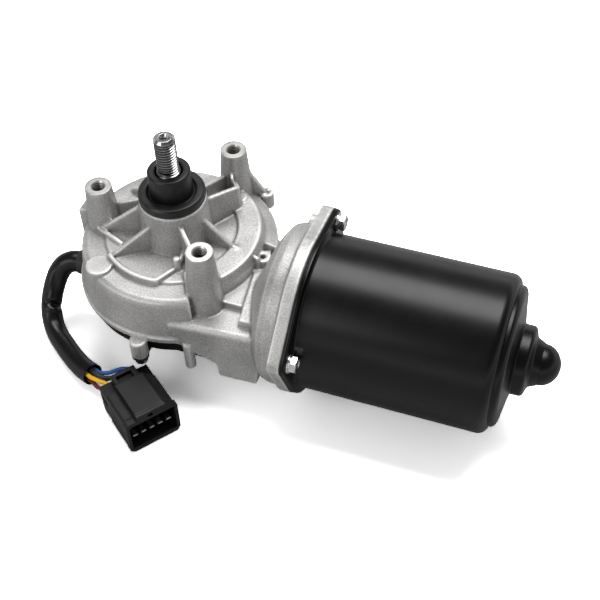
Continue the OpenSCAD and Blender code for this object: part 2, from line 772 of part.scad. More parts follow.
module worm_thrust_pad() {
    color("dimgray") on_motor_axis(end_bush_x0 - pad_t) cylinder(h = pad_t - run_gap, r = arm_shaft_r + 1);
}

module brush_holder() {
    color("saddlebrown") on_motor_axis(commutator_x0 + 3) difference() {
        union() {
            cylinder(h = 2.5, r = bell_bore_r - 0.3);
            for (a = [0, 120, 240]) rotate([0, 0, a + 30]) translate([13.5, -5, 0.5]) cube([20, 10, 9]);
        }
        translate([0, 0, -1]) cylinder(h = 20, r = 14.5);
        for (a = [0, 120, 240]) rotate([0, 0, a + 30]) translate([13, -3.2, 2.6]) cube([22, 6.4, 5.4]);
    }
}

module at_brushes() {
    for (a = [0, 120, 240]) on_motor_axis(commutator_x0 + 5.5) rotate([0, 0, a + 30]) children();
}

module brushes() {
    color("darkslategray") at_brushes() translate([13.05, -3.1, 0.1]) cube([10, 6.2, 5.2]);
}

module brush_springs() {
    turns = 5;
    steps = turns * 8;
    coil_r = 1.8;
    coil_l = 8.4;
    coil = [for (i = [0:steps])
        [23.9 + i * coil_l / steps, coil_r * cos(i * 45), 2.7 + coil_r * sin(i * 45)]];
    color("lightgray") at_brushes() sweep(coil, 0.35, 6);
}

module choke_coils() {
    color("peru") for (a = [90, 210, 330]) on_motor_axis(commutator_x0 + 5.5) rotate([0, 0, a])
        translate([25, 0, 3.05]) rotate([90, 0, 0]) cylinder(h = 14, r = 3, center = true);
}

module motor_can() {
    bend = 12;
    step = 0.7;
    outer = concat(
        [[0, can_start - 0.4], [can_r + can_root, can_start - 0.4], [can_r, can_start + 1]],
        arc(bend, 0, 48, 5, [can_r - bend, can_wall_end]),
        arc(bend - step, 52, 90, 5, [can_r - bend, can_wall_end + step]),
        [[20.5, can_end_x + 3], [cap_boss_r, can_end_x + 3.5], [cap_boss_r, cap_boss_x + 5],
         [cap_boss_r - 2, cap_boss_x + 6.5], [13, cap_boss_x + 9], [11, cap_boss_x + 13]],
        arc(9.75, 0, 90, 8, [0, cap_tip_x - 9.75])
    );
    color([0.08, 0.08, 0.09]) difference() {
        union() {
            on_motor_axis(can_flange_x) linear_extrude(can_flange_t) ear_plate(flange_r - 0.5, ear_r - 0.5);
            on_motor_axis() rotate_extrude() polygon(outer);
        }
        on_motor_axis() rotate_extrude() polygon([
            [0, can_flange_x - 1], [can_r - can_t, can_flange_x - 1], [can_r - can_t, can_wall_end],
            [can_r - bend, can_end_x - can_t], [20, can_end_x - can_t], [bush_seat_r, can_end_x + 1],
            [bush_seat_r, shaft_end_x + 2], [ball_r + 0.2, shaft_end_x + 2],
            [ball_r + 0.2, shaft_end_x + 2.2 * ball_r], [0, shaft_end_x + 2.2 * ball_r]
        ]);
        at_motor_screws(can_flange_x - 1) cylinder(h = can_flange_t + 4, r = screw_r + 0.4);
    }
}

module magnets() {
    gap = core_r + 1.5;
    color("dimgray") on_motor_axis(core_x0 - 4) for (a = [0, 90, 180, 270]) rotate([0, 0, a + 10])
        rotate_extrude(angle = 70) translate([gap, 0])
            square([can_r - can_t - 0.05 - gap, core_x1 - core_x0 + 8]);
}

module magnet_clips() {
    color("lightgray") on_motor_axis(core_x0 + 5) for (a = [0, 90, 180, 270]) rotate([0, 0, a - 8])
        rotate_extrude(angle = 16) translate([can_r - can_t - 1.05, 0]) square([1, core_x1 - core_x0 - 10]);
}

module can_end_bush() {
    color("darkgoldenrod") on_motor_axis(can_end_x + 3) difference() {
        cylinder(h = shaft_end_x - can_end_x - 4, r = bush_seat_r);
        translate([0, 0, -1]) cylinder(h = 30, r = arm_shaft_r + run_gap);
    }
}

module can_end_ball() {
    color("white") on_motor_axis(shaft_end_x + ball_r + run_gap) sphere(ball_r, $fn = 48);
}

module flange_gasket() {
    color("black") on_motor_axis(gasket_x) linear_extrude(gasket_t) difference() {
        ear_plate(flange_r - 0.3, ear_r - 0.3);
        circle(bell_bore_r + 1);
        for (a = ears) translate(screw_c * [cos(a), sin(a)]) circle(screw_r + 0.4);
    }
}

module motor_screws() {
    color("whitesmoke") at_motor_screws(flange_x + 0.5) {
        cylinder(h = can_start - flange_x - 0.5, r = screw_r - 0.02);
        translate([0, 0, can_start - flange_x - 0.5]) {
            cylinder(h = 1.2, r = washer_r);
            cylinder(h = 5, r = 4.8, $fn = 6);
        }
    }
}

// Cover bulge that clears the contact springs
module cover_bulge(grow, depth) {
    intersection() {
        translate([9 + grow, -46 + grow, cover_z - 10 + depth])
            cube([33 - 2 * grow, 28 - 2 * grow, 14]);
        translate([0, 0, cover_z - 10]) cylinder(h = 20, r = cover_r - 1 - grow);
    }
}

module bottom_cover() {
    color([0.07, 0.07, 0.07]) difference() {
        union() {
            translate([0, 0, cover_z]) cylinder(h = gasket_z - cover_z, r = cover_r);
            cover_bulge(0, 0);
            for (a = cover_bosses) rotate([0, 0, a]) translate([0, 0, cover_z - 2.5]) {
                translate([cover_boss_c, 0, 0]) cylinder(h = 2.5 - run_gap, r = cover_boss_r);
                translate([cover_r - 8, -3.5, 0]) cube([13, 7, 2.5 - run_gap]);
                translate([cover_r - 8, -3.5, 0]) cube([7.8, 7, 3.5]);
            }
        }
        translate([0, 0, cover_floor_z]) cylinder(h = 20, r = cavity_r - 0.5);
        cover_bulge(cover_t, cover_t);
        at_cover_screws(cover_z - 4) cylinder(h = 8, r = cover_screw_r + 0.3);
        at_grommet(40) cylinder(h = 40, r = grommet_r);
    }
}

module cover_gasket() {
    color("black") translate([0, 0, gasket_z]) difference() {
        cylinder(h = rim_z - gasket_z, r = cover_r);
        translate([0, 0, -1]) cylinder(h = 3, r = cavity_r);
        translate([0, 0, -gasket_z]) at_grommet(40) cylinder(h = 40, r = grommet_r);
    }
}

module cover_screws() {
    color("whitesmoke") at_cover_screws(cover_z - 2.5) {
        cylinder(h = 11, r = cover_screw_r - 0.02);
        translate([0, 0, -2.8]) cylinder(h = 2.8, r = 3.8);
    }
}

module contact_plate() {
    color("darkgoldenrod") translate([0, 0, cover_floor_z]) difference() {
        cylinder(h = 1.4, r = output_r - 3);
        translate([0, 0, -1]) cylinder(h = 4, r = shaft_r + 3);
    }
}

module park_contacts() {
    track = output_z0 - 1;
    foot = cover_floor_z + 1.4;
    color("goldenrod") for (a = [0, 1, 2]) rotate([0, 0, 140 + a * 40]) {
        translate([12 + a * 2.5, -1.5, foot]) cube([2, 3, track - foot - 0.35]);
    }
}

// Places children on the lead's axis where it passes the housing wall
module at_grommet(d) {
    translate([d * cos(lead_dir), d * sin(lead_dir), lead_z]) rotate([0, 90, lead_dir]) children();
}

module cable_grommet() {
    exit_r = norm([lead_path[0][0], lead_path[0][1]]) - run_gap;
    color("black") at_grommet(cavity_r - 2) {
        cylinder(h = drum_r + 2 - cavity_r + 2, r = grommet_r - 0.05);
        translate([0, 0, drum_r + 2 - cavity_r + 2])
            cylinder(h = exit_r - drum_r - 2, r1 = grommet_r - 0.5, r2 = sleeve_r + 0.4);
    }
}

module cable_sleeve() {
    color([0.05, 0.05, 0.05]) sweep(lead_path, sleeve_r, 12);
}

module wire_black() {
    route = wire_path(0.2, 3.2, 0, [[-24, -70, -87.9], [-18.5, -68.3, -88.5]]);
    color("black") sweep(route, wire_r, 8);
}

module wire_blue() {
    route = wire_path(3, 1, 2, [[-23, -65, -89.2], [-16.5, -60.4, -88.4], [-10.6, -59.2, -88.7]]);
    color("royalblue") sweep(route, wire_r, 8);
}

module wire_yellow() {
    route = wire_path(-2.8, 1.6, -1, [[-24, -72.5, -88.9]]);
    color("gold") sweep(route, wire_r, 8);
}

module wire_brown() {
    route = wire_path(-3, -2, -2, [[-25.6, -74.9, -91.6]]);
    color("saddlebrown") sweep(route, wire_r, 8);
}

module wire_violet() {
    route = wire_path(2.2, -2.6, 1, [[-24, -67.7, -92.5], [-15.5, -64.1, -90.9]]);
    color("midnightblue") sweep(route, wire_r, 8);
}

// Places children in the plug's own frame: +X out of its mouth, Z from the surface
module at_plug() {
    translate(plug_pos) rotate([0, 0, plug_yaw]) children();
}

// Outer form of the plug: a stepped body, a mouth collar and the raised latch box
module plug_form() {
    half_w = plug_w / 2;
    front = plug_l / 2;
    box_half = plug_w * 0.27;
    rear_l = plug_l * 0.28;
    lip = 0.6;
    chamfer = 2.6;
    // Low rear block with its side tab
    translate([-front, -half_w + 1, 1]) cube([rear_l + 1, plug_w - 2, shoulder_h - 4]);
    translate([-front - 1.2, -half_w + 1.2, plug_mid + 1.5]) cube([2, 2, 4]);
    // Main body with a sloping right shoulder
    translate([rear_l - front, 0, 0]) rotate([90, 0, 90]) linear_extrude(plug_l - rear_l - 3) polygon([
        [lip - half_w, 0.4], [half_w - lip, 0.4], [half_w - lip, shoulder_h - 3],
        [box_half + 1, plug_h - 1], [-box_half + 1, plug_h - 1], [-box_half + 1, shoulder_h],
        [1.6 - half_w, shoulder_h], [lip - half_w, shoulder_h - 1.6]
    ]);
    // Collar round the mouth
    translate([front - 4, 0, 0]) rotate([90, 0, 90]) linear_extrude(4) polygon([
        [chamfer - half_w, 0], [half_w - chamfer, 0], [half_w, chamfer],
        [half_w, shoulder_h - 2], [box_half + 0.5, plug_h - 0.4],
        [-box_half - 0.4, plug_h - 0.4], [-box_half - 0.4, shoulder_h + lip],
        [1.2 - half_w, shoulder_h + lip],
        [-half_w, shoulder_h + lip - 1.2], [-half_w, chamfer]
    ]);
    // Raised latch box and the frame behind it
    translate([rear_l - front - 1, -box_half, shoulder_h - 2])
        cube([plug_l - rear_l - 1, 2 * box_half, plug_h - shoulder_h + 2]);
    translate([1 - front, 1 - box_half, shoulder_h - 5])
        cube([rear_l + 2, 2 * box_half - 2.5, plug_h - shoulder_h + 4.2]);
}

module plug_housing() {
    half_w = plug_w / 2;
    front = plug_l / 2;
    color([0.06, 0.06, 0.06]) at_plug() difference() {
        plug_form();
        // Socket
        translate([front - socket_depth, plug_wall - half_w, 3])
            cube([socket_depth + 1, plug_w - 2 * plug_wall, shoulder_h - 5.5]);
        // Window of the latch and the notch in its front face
        translate([3.5 - front, -5.5, plug_h - 4]) cube([5.5, 9.5, 5]);
        translate([front - 2.5, -2, plug_h - 4.4]) cube([3, 3, 2.2]);
        // Side slots
        for (s = [-1, 1]) translate([1.5 - front, s * (half_w - 1) - 1, plug_mid + 1]) cube([7, 2, 4.5]);
        // Wire entries
        for (i = [-2:2]) translate([-front - 1, i * plug_pitch, plug_mid]) rotate([0, 90, 0])
            cylinder(h = entry_depth + 1, r = wire_r + 0.5);
        terminal_bars();
    }
}

// Five flat blades that reach almost to the mouth
module terminal_bars() {
    blade = [socket_depth, 2.8, 1];
    for (i = [-2:2])
        translate([plug_l / 2 - socket_depth - 3, i * plug_pitch - blade[1] / 2, plug_mid - blade[2] / 2])
            cube(blade);
}

module plug_terminals() {
    color("silver") at_plug() terminal_bars();
}

gear_housing();
tower_upper_bush();
tower_lower_bush();
shaft_seal_boot();
output_shaft();
shaft_thrust_washer();
shaft_circlip();
output_gear();
park_disc();
idler_pin();
idler_worm_wheel();
idler_pinion();
idler_washer();
worm();
armature_shaft();
armature_core();
armature_windings();
commutator();
bearing_inner_ring();
bearing_outer_ring();
bearing_balls();
worm_end_bush();
worm_thrust_pad();
brush_holder();
brushes();
brush_springs();
choke_coils();
motor_can();
magnets();
magnet_clips();
can_end_bush();
can_end_ball();
flange_gasket();
motor_screws();
bottom_cover();
cover_gasket();
cover_screws();
contact_plate();
park_contacts();
cable_grommet();
cable_sleeve();
wire_black();
wire_blue();
wire_yellow();
wire_brown();
wire_violet();
plug_housing();
plug_terminals();
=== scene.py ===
"""Looks of a wiper motor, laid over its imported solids.

Lengths are millimetres in the classes and become metres when a mesh is made. The frame is the
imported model's: the origin on the output shaft's axis in the plane of the standoff faces, +Z up
the shaft and +X along the motor can.
"""
import logging
from dataclasses import dataclass, replace
from enum import Enum
from functools import partial
from typing import Callable, Sequence

import bmesh
import bpy
import numpy as np
from mathutils import Matrix


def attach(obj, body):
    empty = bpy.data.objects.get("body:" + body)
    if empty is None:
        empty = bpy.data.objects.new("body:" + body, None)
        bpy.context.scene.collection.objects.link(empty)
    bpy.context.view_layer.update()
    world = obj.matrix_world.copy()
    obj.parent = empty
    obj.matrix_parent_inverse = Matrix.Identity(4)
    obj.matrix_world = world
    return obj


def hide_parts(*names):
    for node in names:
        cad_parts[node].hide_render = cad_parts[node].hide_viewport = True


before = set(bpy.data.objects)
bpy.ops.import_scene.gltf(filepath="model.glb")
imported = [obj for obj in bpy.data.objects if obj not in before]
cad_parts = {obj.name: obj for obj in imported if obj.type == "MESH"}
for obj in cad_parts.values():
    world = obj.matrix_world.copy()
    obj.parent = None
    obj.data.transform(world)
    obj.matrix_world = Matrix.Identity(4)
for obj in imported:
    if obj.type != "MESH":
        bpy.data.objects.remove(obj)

Array = np.ndarray
Piece = bpy.types.Object
Mesh = bpy.types.Mesh
Socket = bpy.types.NodeSocket
Sockets = bpy.types.NodeOutputs
Value = Socket | float
Point = tuple[float, float, float]
Shape = Callable[[Array, Array, Array], Array]

log = logging.getLogger("wiper_motor")
MM = 0.001
TAU = 2 * np.pi
SHARP = 38.0  # Angle in degrees above which an edge shades sharp
MOTOR_Y = -17.0
MOTOR_Z = -45.0
FLOOR_Z = -100.1
EARS = (48.0, 168.0, 288.0)  # Directions of the can's ears, in degrees
# Each standoff's distance and direction from the shaft, and the depth of its hole
POSTS = ((43.8, 186.4, 20.0), (50.3, 69.3, 18.5), (46.5, -48.8, 17.0))


# Meshes

@dataclass(frozen=True)
class Axis:
    """A line in space that turned pieces are built round, with a side direction for angle 0."""
    origin: Point = (0.0, 0.0, 0.0)
    along: Point = (0.0, 0.0, 1.0)
    side: Point = (1.0, 0.0, 0.0)

    def place(self, radius: Array, height: Array, angle: Array) -> Array:
        """p = origin + height * along + radius * (cos(angle) * side + sin(angle) * across).

        Here across is along x side.

        Args:
            radius: distances from the line.
            height: distances along the line.
            angle: angles round the line, in radians.

        Returns:
            Points, with one more dimension than the inputs.
        """
        along, side = np.array(self.along), np.array(self.side)
        across = np.cross(along, side)
        radius, height, angle = (v[..., None] for v in np.broadcast_arrays(radius, height, angle))
        return (np.array(self.origin) + height * along
                + radius * np.cos(angle) * side + radius * np.sin(angle) * across)


def ways(degrees: Array | float) -> Array:
    """Unit vectors (cos, sin) of angles in degrees."""
    turn = np.radians(degrees)
    return np.stack([np.cos(turn), np.sin(turn)], -1)


def unit(vectors: Array) -> Array:
    """Vectors brought to length 1."""
    return vectors / np.linalg.norm(vectors, axis=-1, keepdims=True)


def post_place(post: Point) -> Point:
    """Point where a standoff's axis meets its face, for a row of POSTS."""
    return (*(post[0] * ways(post[1])), 0.0)


def link(piece: Piece) -> Piece:
    """Puts a new object into the scene."""
    bpy.context.scene.collection.objects.link(piece)
    return piece


def shade(mesh: Mesh, sharp: float = SHARP) -> None:
    """Shades a mesh smooth, but for edges above an angle in degrees."""
    mesh.shade_smooth()
    mesh.set_sharp_from_angle(angle=np.radians(sharp))


def surface(name: str, points: Array, wrap: tuple[bool, bool], sharp: float = SHARP) -> Piece:
    """A surface through a grid of points p[i, j], one quad between each four neighbours.

    Args:
        name: the piece's name.
        points: array of shape (n, m, 3), in millimetres.
        wrap: whether the grid closes on itself along i and along j.
        sharp: shading angle in degrees.

    Returns:
        The new object.
    """
    n, m = points.shape[:2]
    i = np.arange(n if wrap[0] else n - 1)[:, None]
    j = np.arange(m if wrap[1] else m - 1)[None, :]
    i2, j2 = (i + 1) % n, (j + 1) % m
    corners = np.broadcast_arrays(i * m + j, i2 * m + j, i2 * m + j2, i * m + j2)
    quads = np.stack(corners, -1).reshape(-1, 4)
    mesh = bpy.data.meshes.new(name)
    mesh.vertices.add(n * m)
    mesh.vertices.foreach_set("co", (points.reshape(-1, 3) * MM).ravel())
    mesh.loops.add(quads.size)
    mesh.loops.foreach_set("vertex_index", quads.ravel())
    mesh.polygons.add(len(quads))
    mesh.polygons.foreach_set("loop_start", np.arange(len(quads)) * 4)
    mesh.update(calc_edges=True)
    work = bmesh.new()
    work.from_mesh(mesh)
    bmesh.ops.remove_doubles(work, verts=work.verts, dist=2e-7)
    bmesh.ops.dissolve_degenerate(work, edges=work.edges, dist=2e-8)
    bmesh.ops.recalc_face_normals(work, faces=work.faces)
    work.to_mesh(mesh)
    work.free()
    shade(mesh, sharp)
    return link(bpy.data.objects.new(name, mesh))


def join(name: str, pieces: Sequence[Piece]) -> Piece:
    """Joins loose shells into one piece.

    Args:
        name: the joined piece's name.
        pieces: objects at the origin, which are used up.

    Returns:
        The joined object.
    """
    work = bmesh.new()
    for piece in pieces:
        work.from_mesh(piece.data)
    mesh = bpy.data.meshes.new(name)
    work.to_mesh(mesh)
    work.free()
    shade(mesh)
    for piece in pieces:
        bpy.data.objects.remove(piece)
    return link(bpy.data.objects.new(name, mesh))


def rounded(corners: Sequence[Point], steps: int = 4) -> Array:
    """A polyline whose corners are arcs.

    At a corner with unit sides a and b and half-angle h, the arc of radius r starts r / tan(h)
    along each side, and its centre lies r / sin(h) along a + b.

    Args:
        corners: rows (x, y, arc radius).
        steps: segments in each arc.

    Returns:
        Points of shape (k, 2).
    """
    rows = np.array(corners, float)
    longest = 0.49  # An arc takes less than half of a side
    out = [rows[0, :2]]
    for k in range(1, len(rows) - 1):
        p, r = rows[k, :2], rows[k, 2]
        a, b = rows[k - 1, :2] - p, rows[k + 1, :2] - p
        la, lb = np.linalg.norm(a), np.linalg.norm(b)
        a, b = a / la, b / lb
        half = np.arccos(np.clip(a @ b, -1, 1)) / 2
        if r <= 0 or abs(half - np.pi / 2) < 1e-3:
            out.append(p)
            continue
        reach = min(r / np.tan(half), longest * la, longest * lb)
        r = reach * np.tan(half)
        centre = p + unit(a + b) * r / np.sin(half)
        start, end = p + a * reach - centre, p + b * reach - centre
        t = np.linspace(0, 1, steps + 1)[:, None]
        sweep = np.pi - 2 * half
        arc = (np.sin((1 - t) * sweep) * start + np.sin(t * sweep) * end) / np.sin(sweep)
        out.extend(centre + arc)
    out.append(rows[-1, :2])
    return np.array(out)


def dense(profile: Array, step: float) -> Array:
    """A polyline with points added so that none of its steps is longer than a given length.

    Args:
        profile: points of shape (k, 2).
        step: longest step, in millimetres.

    Returns:
        Points of shape (n, 2) that hold every point of the profile.
    """
    out = [profile[:1]]
    for a, b in zip(profile[:-1], profile[1:]):
        count = max(1, int(np.ceil(np.linalg.norm(b - a) / step)))
        out.append(a + (b - a) * np.linspace(0, 1, count + 1)[1:, None])
    return np.vstack(out)


def turned(name: str, profile: Array, axis: Axis, segments: int, shape: Shape | None = None,
           loop: bool = False, sharp: float = SHARP) -> Piece:
    """A turned piece: p(a, k) = the axis's point at radius R(a, r_k, h_k), height h_k and angle a.

    Args:
        name: the piece's name.
        profile: rows (radius, height).
        axis: the line it is turned round.
        segments: steps round the line.
        shape: function (angle, radius, height) -> radius that adds a thread or flats.
        loop: whether the profile closes on itself.
        sharp: shading angle in degrees.

    Returns:
        The new object.
    """
    angle = np.arange(segments)[:, None] * TAU / segments
    radius, height = profile[None, :, 0], profile[None, :, 1]
    if shape:
        radius = shape(angle, radius, height)
    return surface(name, axis.place(radius, height, angle), (True, loop), sharp)


def smooth_path(points: Sequence[Point] | Array, count: int) -> Array:
    """A curve through given points, at even steps of its length.

    Between p1 and p2 it is the cubic whose tangents are half of p2 - p0 and half of p3 - p1.

    Args:
        points: the points passed.
        count: points wanted.

    Returns:
        Points of shape (count, 3).
    """
    p = np.array(points, float)
    p = np.vstack([2 * p[0] - p[1], p, 2 * p[-1] - p[-2]])
    t = np.linspace(0, 1, 24, endpoint=False)[:, None]
    parts = []
    for k in range(1, len(p) - 2):
        m1, m2 = (p[k + 1] - p[k - 1]) / 2, (p[k + 2] - p[k]) / 2
        parts.append((2 * t**3 - 3 * t**2 + 1) * p[k] + (t**3 - 2 * t**2 + t) * m1
                     + (-2 * t**3 + 3 * t**2) * p[k + 1] + (t**3 - t**2) * m2)
    fine = np.vstack(parts + [p[-2:-1]])
    run = np.concatenate([[0], np.cumsum(np.linalg.norm(np.diff(fine, axis=0), axis=1))])
    even = np.linspace(0, run[-1], count)
    return np.stack([np.interp(even, run, fine[:, c]) for c in range(3)], 1)


def rings_along(path: Array, angle: Array) -> Array:
    """Unit vectors cos(a) * side + sin(a) * up across a path, whose side stays level.

    Args:
        path: points of shape (n, 3).
        angle: m angles, in radians.

    Returns:
        Vectors of shape (n, m, 3).
    """
    tangent = unit(np.gradient(path, axis=0))
    side = unit(np.cross(tangent, (0, 0, 1.0)))
    up = np.cross(side, tangent)
    turn = angle[None, :, None]
    return np.cos(turn) * side[:, None] + np.sin(turn) * up[:, None]


def rows_of(items: bpy.types.bpy_prop_collection, key: str, width: int,
            kind: type = float) -> Array:
    """Reads a property of all of a mesh's points, edges or triangles.

    Args:
        items: the points, edges or triangles.
        key: the property.
        width: its count of numbers.
        kind: their type.

    Returns:
        Array of shape (n, width).
    """
    values = np.empty(len(items) * width, kind)
    items.foreach_get(key, values)
    return values.reshape(-1, width)


def near_sum(value: Array, a: Array, b: Array) -> Array:
    """Sum of a value over each point's neighbours, along edges from a to b."""
    return np.bincount(a, value[b], len(value)) + np.bincount(b, value[a], len(value))


def baked(piece: Piece) -> None:
    """Applies a piece's modifiers to its mesh.

    Args:
        piece: the object, whose old mesh is deleted.
    """
    bpy.context.view_layer.update()
    graph = bpy.context.evaluated_depsgraph_get()
    mesh = bpy.data.meshes.new_from_object(piece.evaluated_get(graph))
    piece.modifiers.clear()
    old, piece.data = piece.data, mesh
    bpy.data.meshes.remove(old)


def edge_tone(mesh: Mesh, scale: float) -> None:
    """Writes how convex the surface is to a point attribute named edge, 0.5 where it is flat.

    A vertex's mean curvature is the sum over its edges of length times signed angle between the
    two faces, over four times a third of its faces' area, spread to the neighbours twice.

    Args:
        mesh: a closed triangle mesh.
        scale: curvature, per metre, that counts as a full edge.
    """
    mesh.calc_loop_triangles()
    co = rows_of(mesh.vertices, "co", 3)
    tri = rows_of(mesh.loop_triangles, "vertices", 3, np.int64)
    n = len(co)
    cross = np.cross(co[tri[:, 1]] - co[tri[:, 0]], co[tri[:, 2]] - co[tri[:, 0]])
    area = np.linalg.norm(cross, axis=1) / 2
    normal = cross / np.maximum(2 * area, 1e-16)[:, None]
    half = np.vstack([tri[:, [0, 1]], tri[:, [1, 2]], tri[:, [2, 0]]])
    face = np.tile(np.arange(len(tri)), 3)
    key = np.sort(half, axis=1) @ np.array([n, 1])
    order = np.argsort(key, kind="stable")
    pair = np.nonzero(key[order][:-1] == key[order][1:])[0]
    first, second = order[pair], order[pair + 1]
    a, b = half[first].T
    edge = co[b] - co[a]
    length = np.linalg.norm(edge, axis=1)
    n1, n2 = normal[face[first]], normal[face[second]]
    rise = np.einsum("ij,ij->i", np.cross(n1, n2), edge / np.maximum(length, 1e-12)[:, None])
    bend = np.arctan2(rise, np.einsum("ij,ij->i", n1, n2)) * length
    total = np.bincount(a, bend, n) + np.bincount(b, bend, n)
    share = sum(np.bincount(tri[:, c], area, n) for c in range(3)) / 3
    value = np.clip(total / np.maximum(4 * share, 1e-10) / scale, -1, 1)
    count = np.bincount(a, minlength=n) + np.bincount(b, minlength=n) + 1
    for _ in range(2):
        value = (value + near_sum(value, a, b)) / count
    layer = mesh.attributes.new("edge", "FLOAT", "POINT")
    layer.data.foreach_set("value", (0.5 + 0.5 * np.clip(value, -1, 1)).astype(np.float32))


def softened(name: str, node: str, voxel: float, rounds: int, budget: int, scale: float,
             bores: Sequence[tuple[float, float, float, float]] = ()) -> Piece:
    """A copy of a CAD node with every edge and corner rounded, as casting or moulding does.

    The merged copy is remade on an even grid, then each point moves halfway to the mean of its
    neighbours, a few times over; flat faces and the drafts stay where they are.

    Args:
        name: the new piece's name.
        node: the CAD node.
        voxel: grid step in millimetres.
        rounds: times that the points move.
        budget: triangles kept.
        scale: curvature, per metre, that counts as a full edge.
        bores: rows (x, y, reach, radius): points nearer to that upright line than reach, above
            the deepest bore's floor, move out to the radius, which makes room for a lining.

    Returns:
        The new object.
    """
    floor = -21.0
    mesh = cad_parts[node].data.copy()
    mesh.name = name
    mesh.materials.clear()
    piece = link(bpy.data.objects.new(name, mesh))
    work = bmesh.new()
    work.from_mesh(mesh)
    bmesh.ops.remove_doubles(work, verts=work.verts, dist=1e-7)
    work.to_mesh(mesh)
    work.free()
    co = rows_of(mesh.vertices, "co", 3)
    for x, y, reach, radius in bores:
        off = co[:, :2] - np.array([x, y]) * MM
        far = np.linalg.norm(off, axis=1)
        near = (far < reach * MM) & (far > 1e-6) & (co[:, 2] > floor * MM)
        co[near, :2] += off[near] * (radius * MM / far[near] - 1)[:, None]
    mesh.vertices.foreach_set("co", co.ravel())
    remesh = piece.modifiers.new("even", "REMESH")
    remesh.mode, remesh.voxel_size = "VOXEL", voxel * MM
    baked(piece)
    mesh = piece.data
    co = rows_of(mesh.vertices, "co", 3)
    a, b = rows_of(mesh.edges, "vertices", 2, np.int64).T
    count = (np.bincount(a, minlength=len(co)) + np.bincount(b, minlength=len(co)))[:, None]
    for _ in range(rounds):
        co = (co + np.stack([near_sum(co[:, c], a, b) for c in range(3)], 1) / count) / 2
    mesh.vertices.foreach_set("co", co.ravel())
    mesh.update()
    thin = piece.modifiers.new("lean", "DECIMATE")
    thin.ratio = min(1.0, budget / (2 * len(mesh.polygons)))
    baked(piece)
    piece.data.shade_smooth()
    piece.data.update()
    edge_tone(piece.data, scale)
    log.info("%s: %d faces", name, len(piece.data.polygons))
    return piece


# Shader graphs

class Graph:
    """Short calls that add shader nodes to a tree and join them."""

    def __init__(self, tree: bpy.types.NodeTree) -> None:
        """Keeps the tree."""
        self.tree = tree

    @classmethod
    def fresh(cls, holder: bpy.types.Material | bpy.types.World) -> "Graph":
        """An empty graph in a material or a world.

        Args:
            holder: the material or world.

        Returns:
            The graph on its tree.
        """
        holder.use_nodes = True
        holder.node_tree.nodes.clear()
        return cls(holder.node_tree)

    def give(self, place: Socket, value: Value | tuple) -> None:
        """Links a socket to an input, or sets the input to a value.

        Args:
            place: the input.
            value: the socket or value that it gets.
        """
        if isinstance(value, Socket):
            self.tree.links.new(value, place)
        else:
            place.default_value = value

    def add(self, kind: str, inputs: dict | None = None, **settings) -> bpy.types.Node:
        """Adds a node.

        Args:
            kind: the node's type.
            inputs: values or sockets by input name or number.
            settings: the node's own properties.

        Returns:
            The node.
        """
        node = self.tree.nodes.new(kind)
        for key, value in settings.items():
            setattr(node, key, value)
        for key, value in (inputs or {}).items():
            self.give(node.inputs[key], value)
        return node

    def math(self, operation: str, a: Value, b: Value = 0.0) -> Socket:
        """One arithmetic step on two values or sockets."""
        return self.add("ShaderNodeMath", {0: a, 1: b}, operation=operation).outputs[0]

    def times(self, a: Value, b: Value) -> Socket:
        """Product of two values."""
        return self.math("MULTIPLY", a, b)

    def mixed(self, a: Socket, share_a: float, b: Socket, share_b: float) -> Socket:
        """Sum of two values, each times its share."""
        return self.math("ADD", self.times(a, share_a), self.times(b, share_b))

    def blend(self, share: Value, a: Socket | tuple, b: Socket | tuple,
              mode: str = "MIX") -> Socket:
        """Two colours mixed by a share."""
        inputs = {0: share, 6: a, 7: b}
        return self.add("ShaderNodeMix", inputs, data_type="RGBA", blend_type=mode).outputs[2]

    def grey(self, value: Socket) -> Socket:
        """A value as a grey colour."""
        return self.add("ShaderNodeCombineColor", {0: value, 1: value, 2: value}).outputs[0]

    def shaded(self, colour: Socket, share: Socket) -> Socket:
        """A colour times a grey share."""
        return self.blend(1.0, colour, self.grey(share), "MULTIPLY")

    def spread(self, value: Socket, low: float, high: float, to_low: float = 0.0,
               to_high: float = 1.0) -> Socket:
        """A value carried from one range to another, clamped."""
        inputs = {0: value, 1: low, 2: high, 3: to_low, 4: to_high}
        return self.add("ShaderNodeMapRange", inputs).outputs[0]

    def noise(self, place: Socket, scale: Value, detail: float = 2.0,
              roughness: float = 0.5, dimensions: str = "3D") -> Socket:
        """A noise's value at a place."""
        inputs = {"Vector": place, "Scale": scale, "Detail": detail, "Roughness": roughness}
        return self.add("ShaderNodeTexNoise", inputs, noise_dimensions=dimensions).outputs[0]

    def parts(self, vector: Socket) -> Sockets:
        """The three parts of a vector."""
        return self.add("ShaderNodeSeparateXYZ", {0: vector}).outputs

    def from_axis(self, parts: Sockets) -> Socket:
        """Distance of a place from the Z axis."""
        x, y = parts[0], parts[1]
        return self.math("SQRT", self.math("ADD", self.times(x, x), self.times(y, y)))

    def end(self, kind: str, shader: bpy.types.Node) -> None:
        """Joins a shader to the tree's output."""
        self.add(kind, {"Surface": shader.outputs[0]})


def shared_group(name: str, inputs: dict[str, float | None], outputs: Sequence[str]) -> tuple:
    """A new shader node group with named sockets.

    Args:
        name: the group's name.
        inputs: each input's default, with None for a vector.
        outputs: names of the float outputs.

    Returns:
        A Graph on it, what comes in and what goes out.
    """
    tree = bpy.data.node_groups.new(name, "ShaderNodeTree")
    for label, value in inputs.items():
        kind = "NodeSocketVector" if value is None else "NodeSocketFloat"
        socket = tree.interface.new_socket(label, in_out="INPUT", socket_type=kind)
        if value is not None:
            socket.default_value = value
    for label in outputs:
        tree.interface.new_socket(label, in_out="OUTPUT", socket_type="NodeSocketFloat")
    g = Graph(tree)
    return g, g.add("NodeGroupInput").outputs, g.add("NodeGroupOutput").inputs


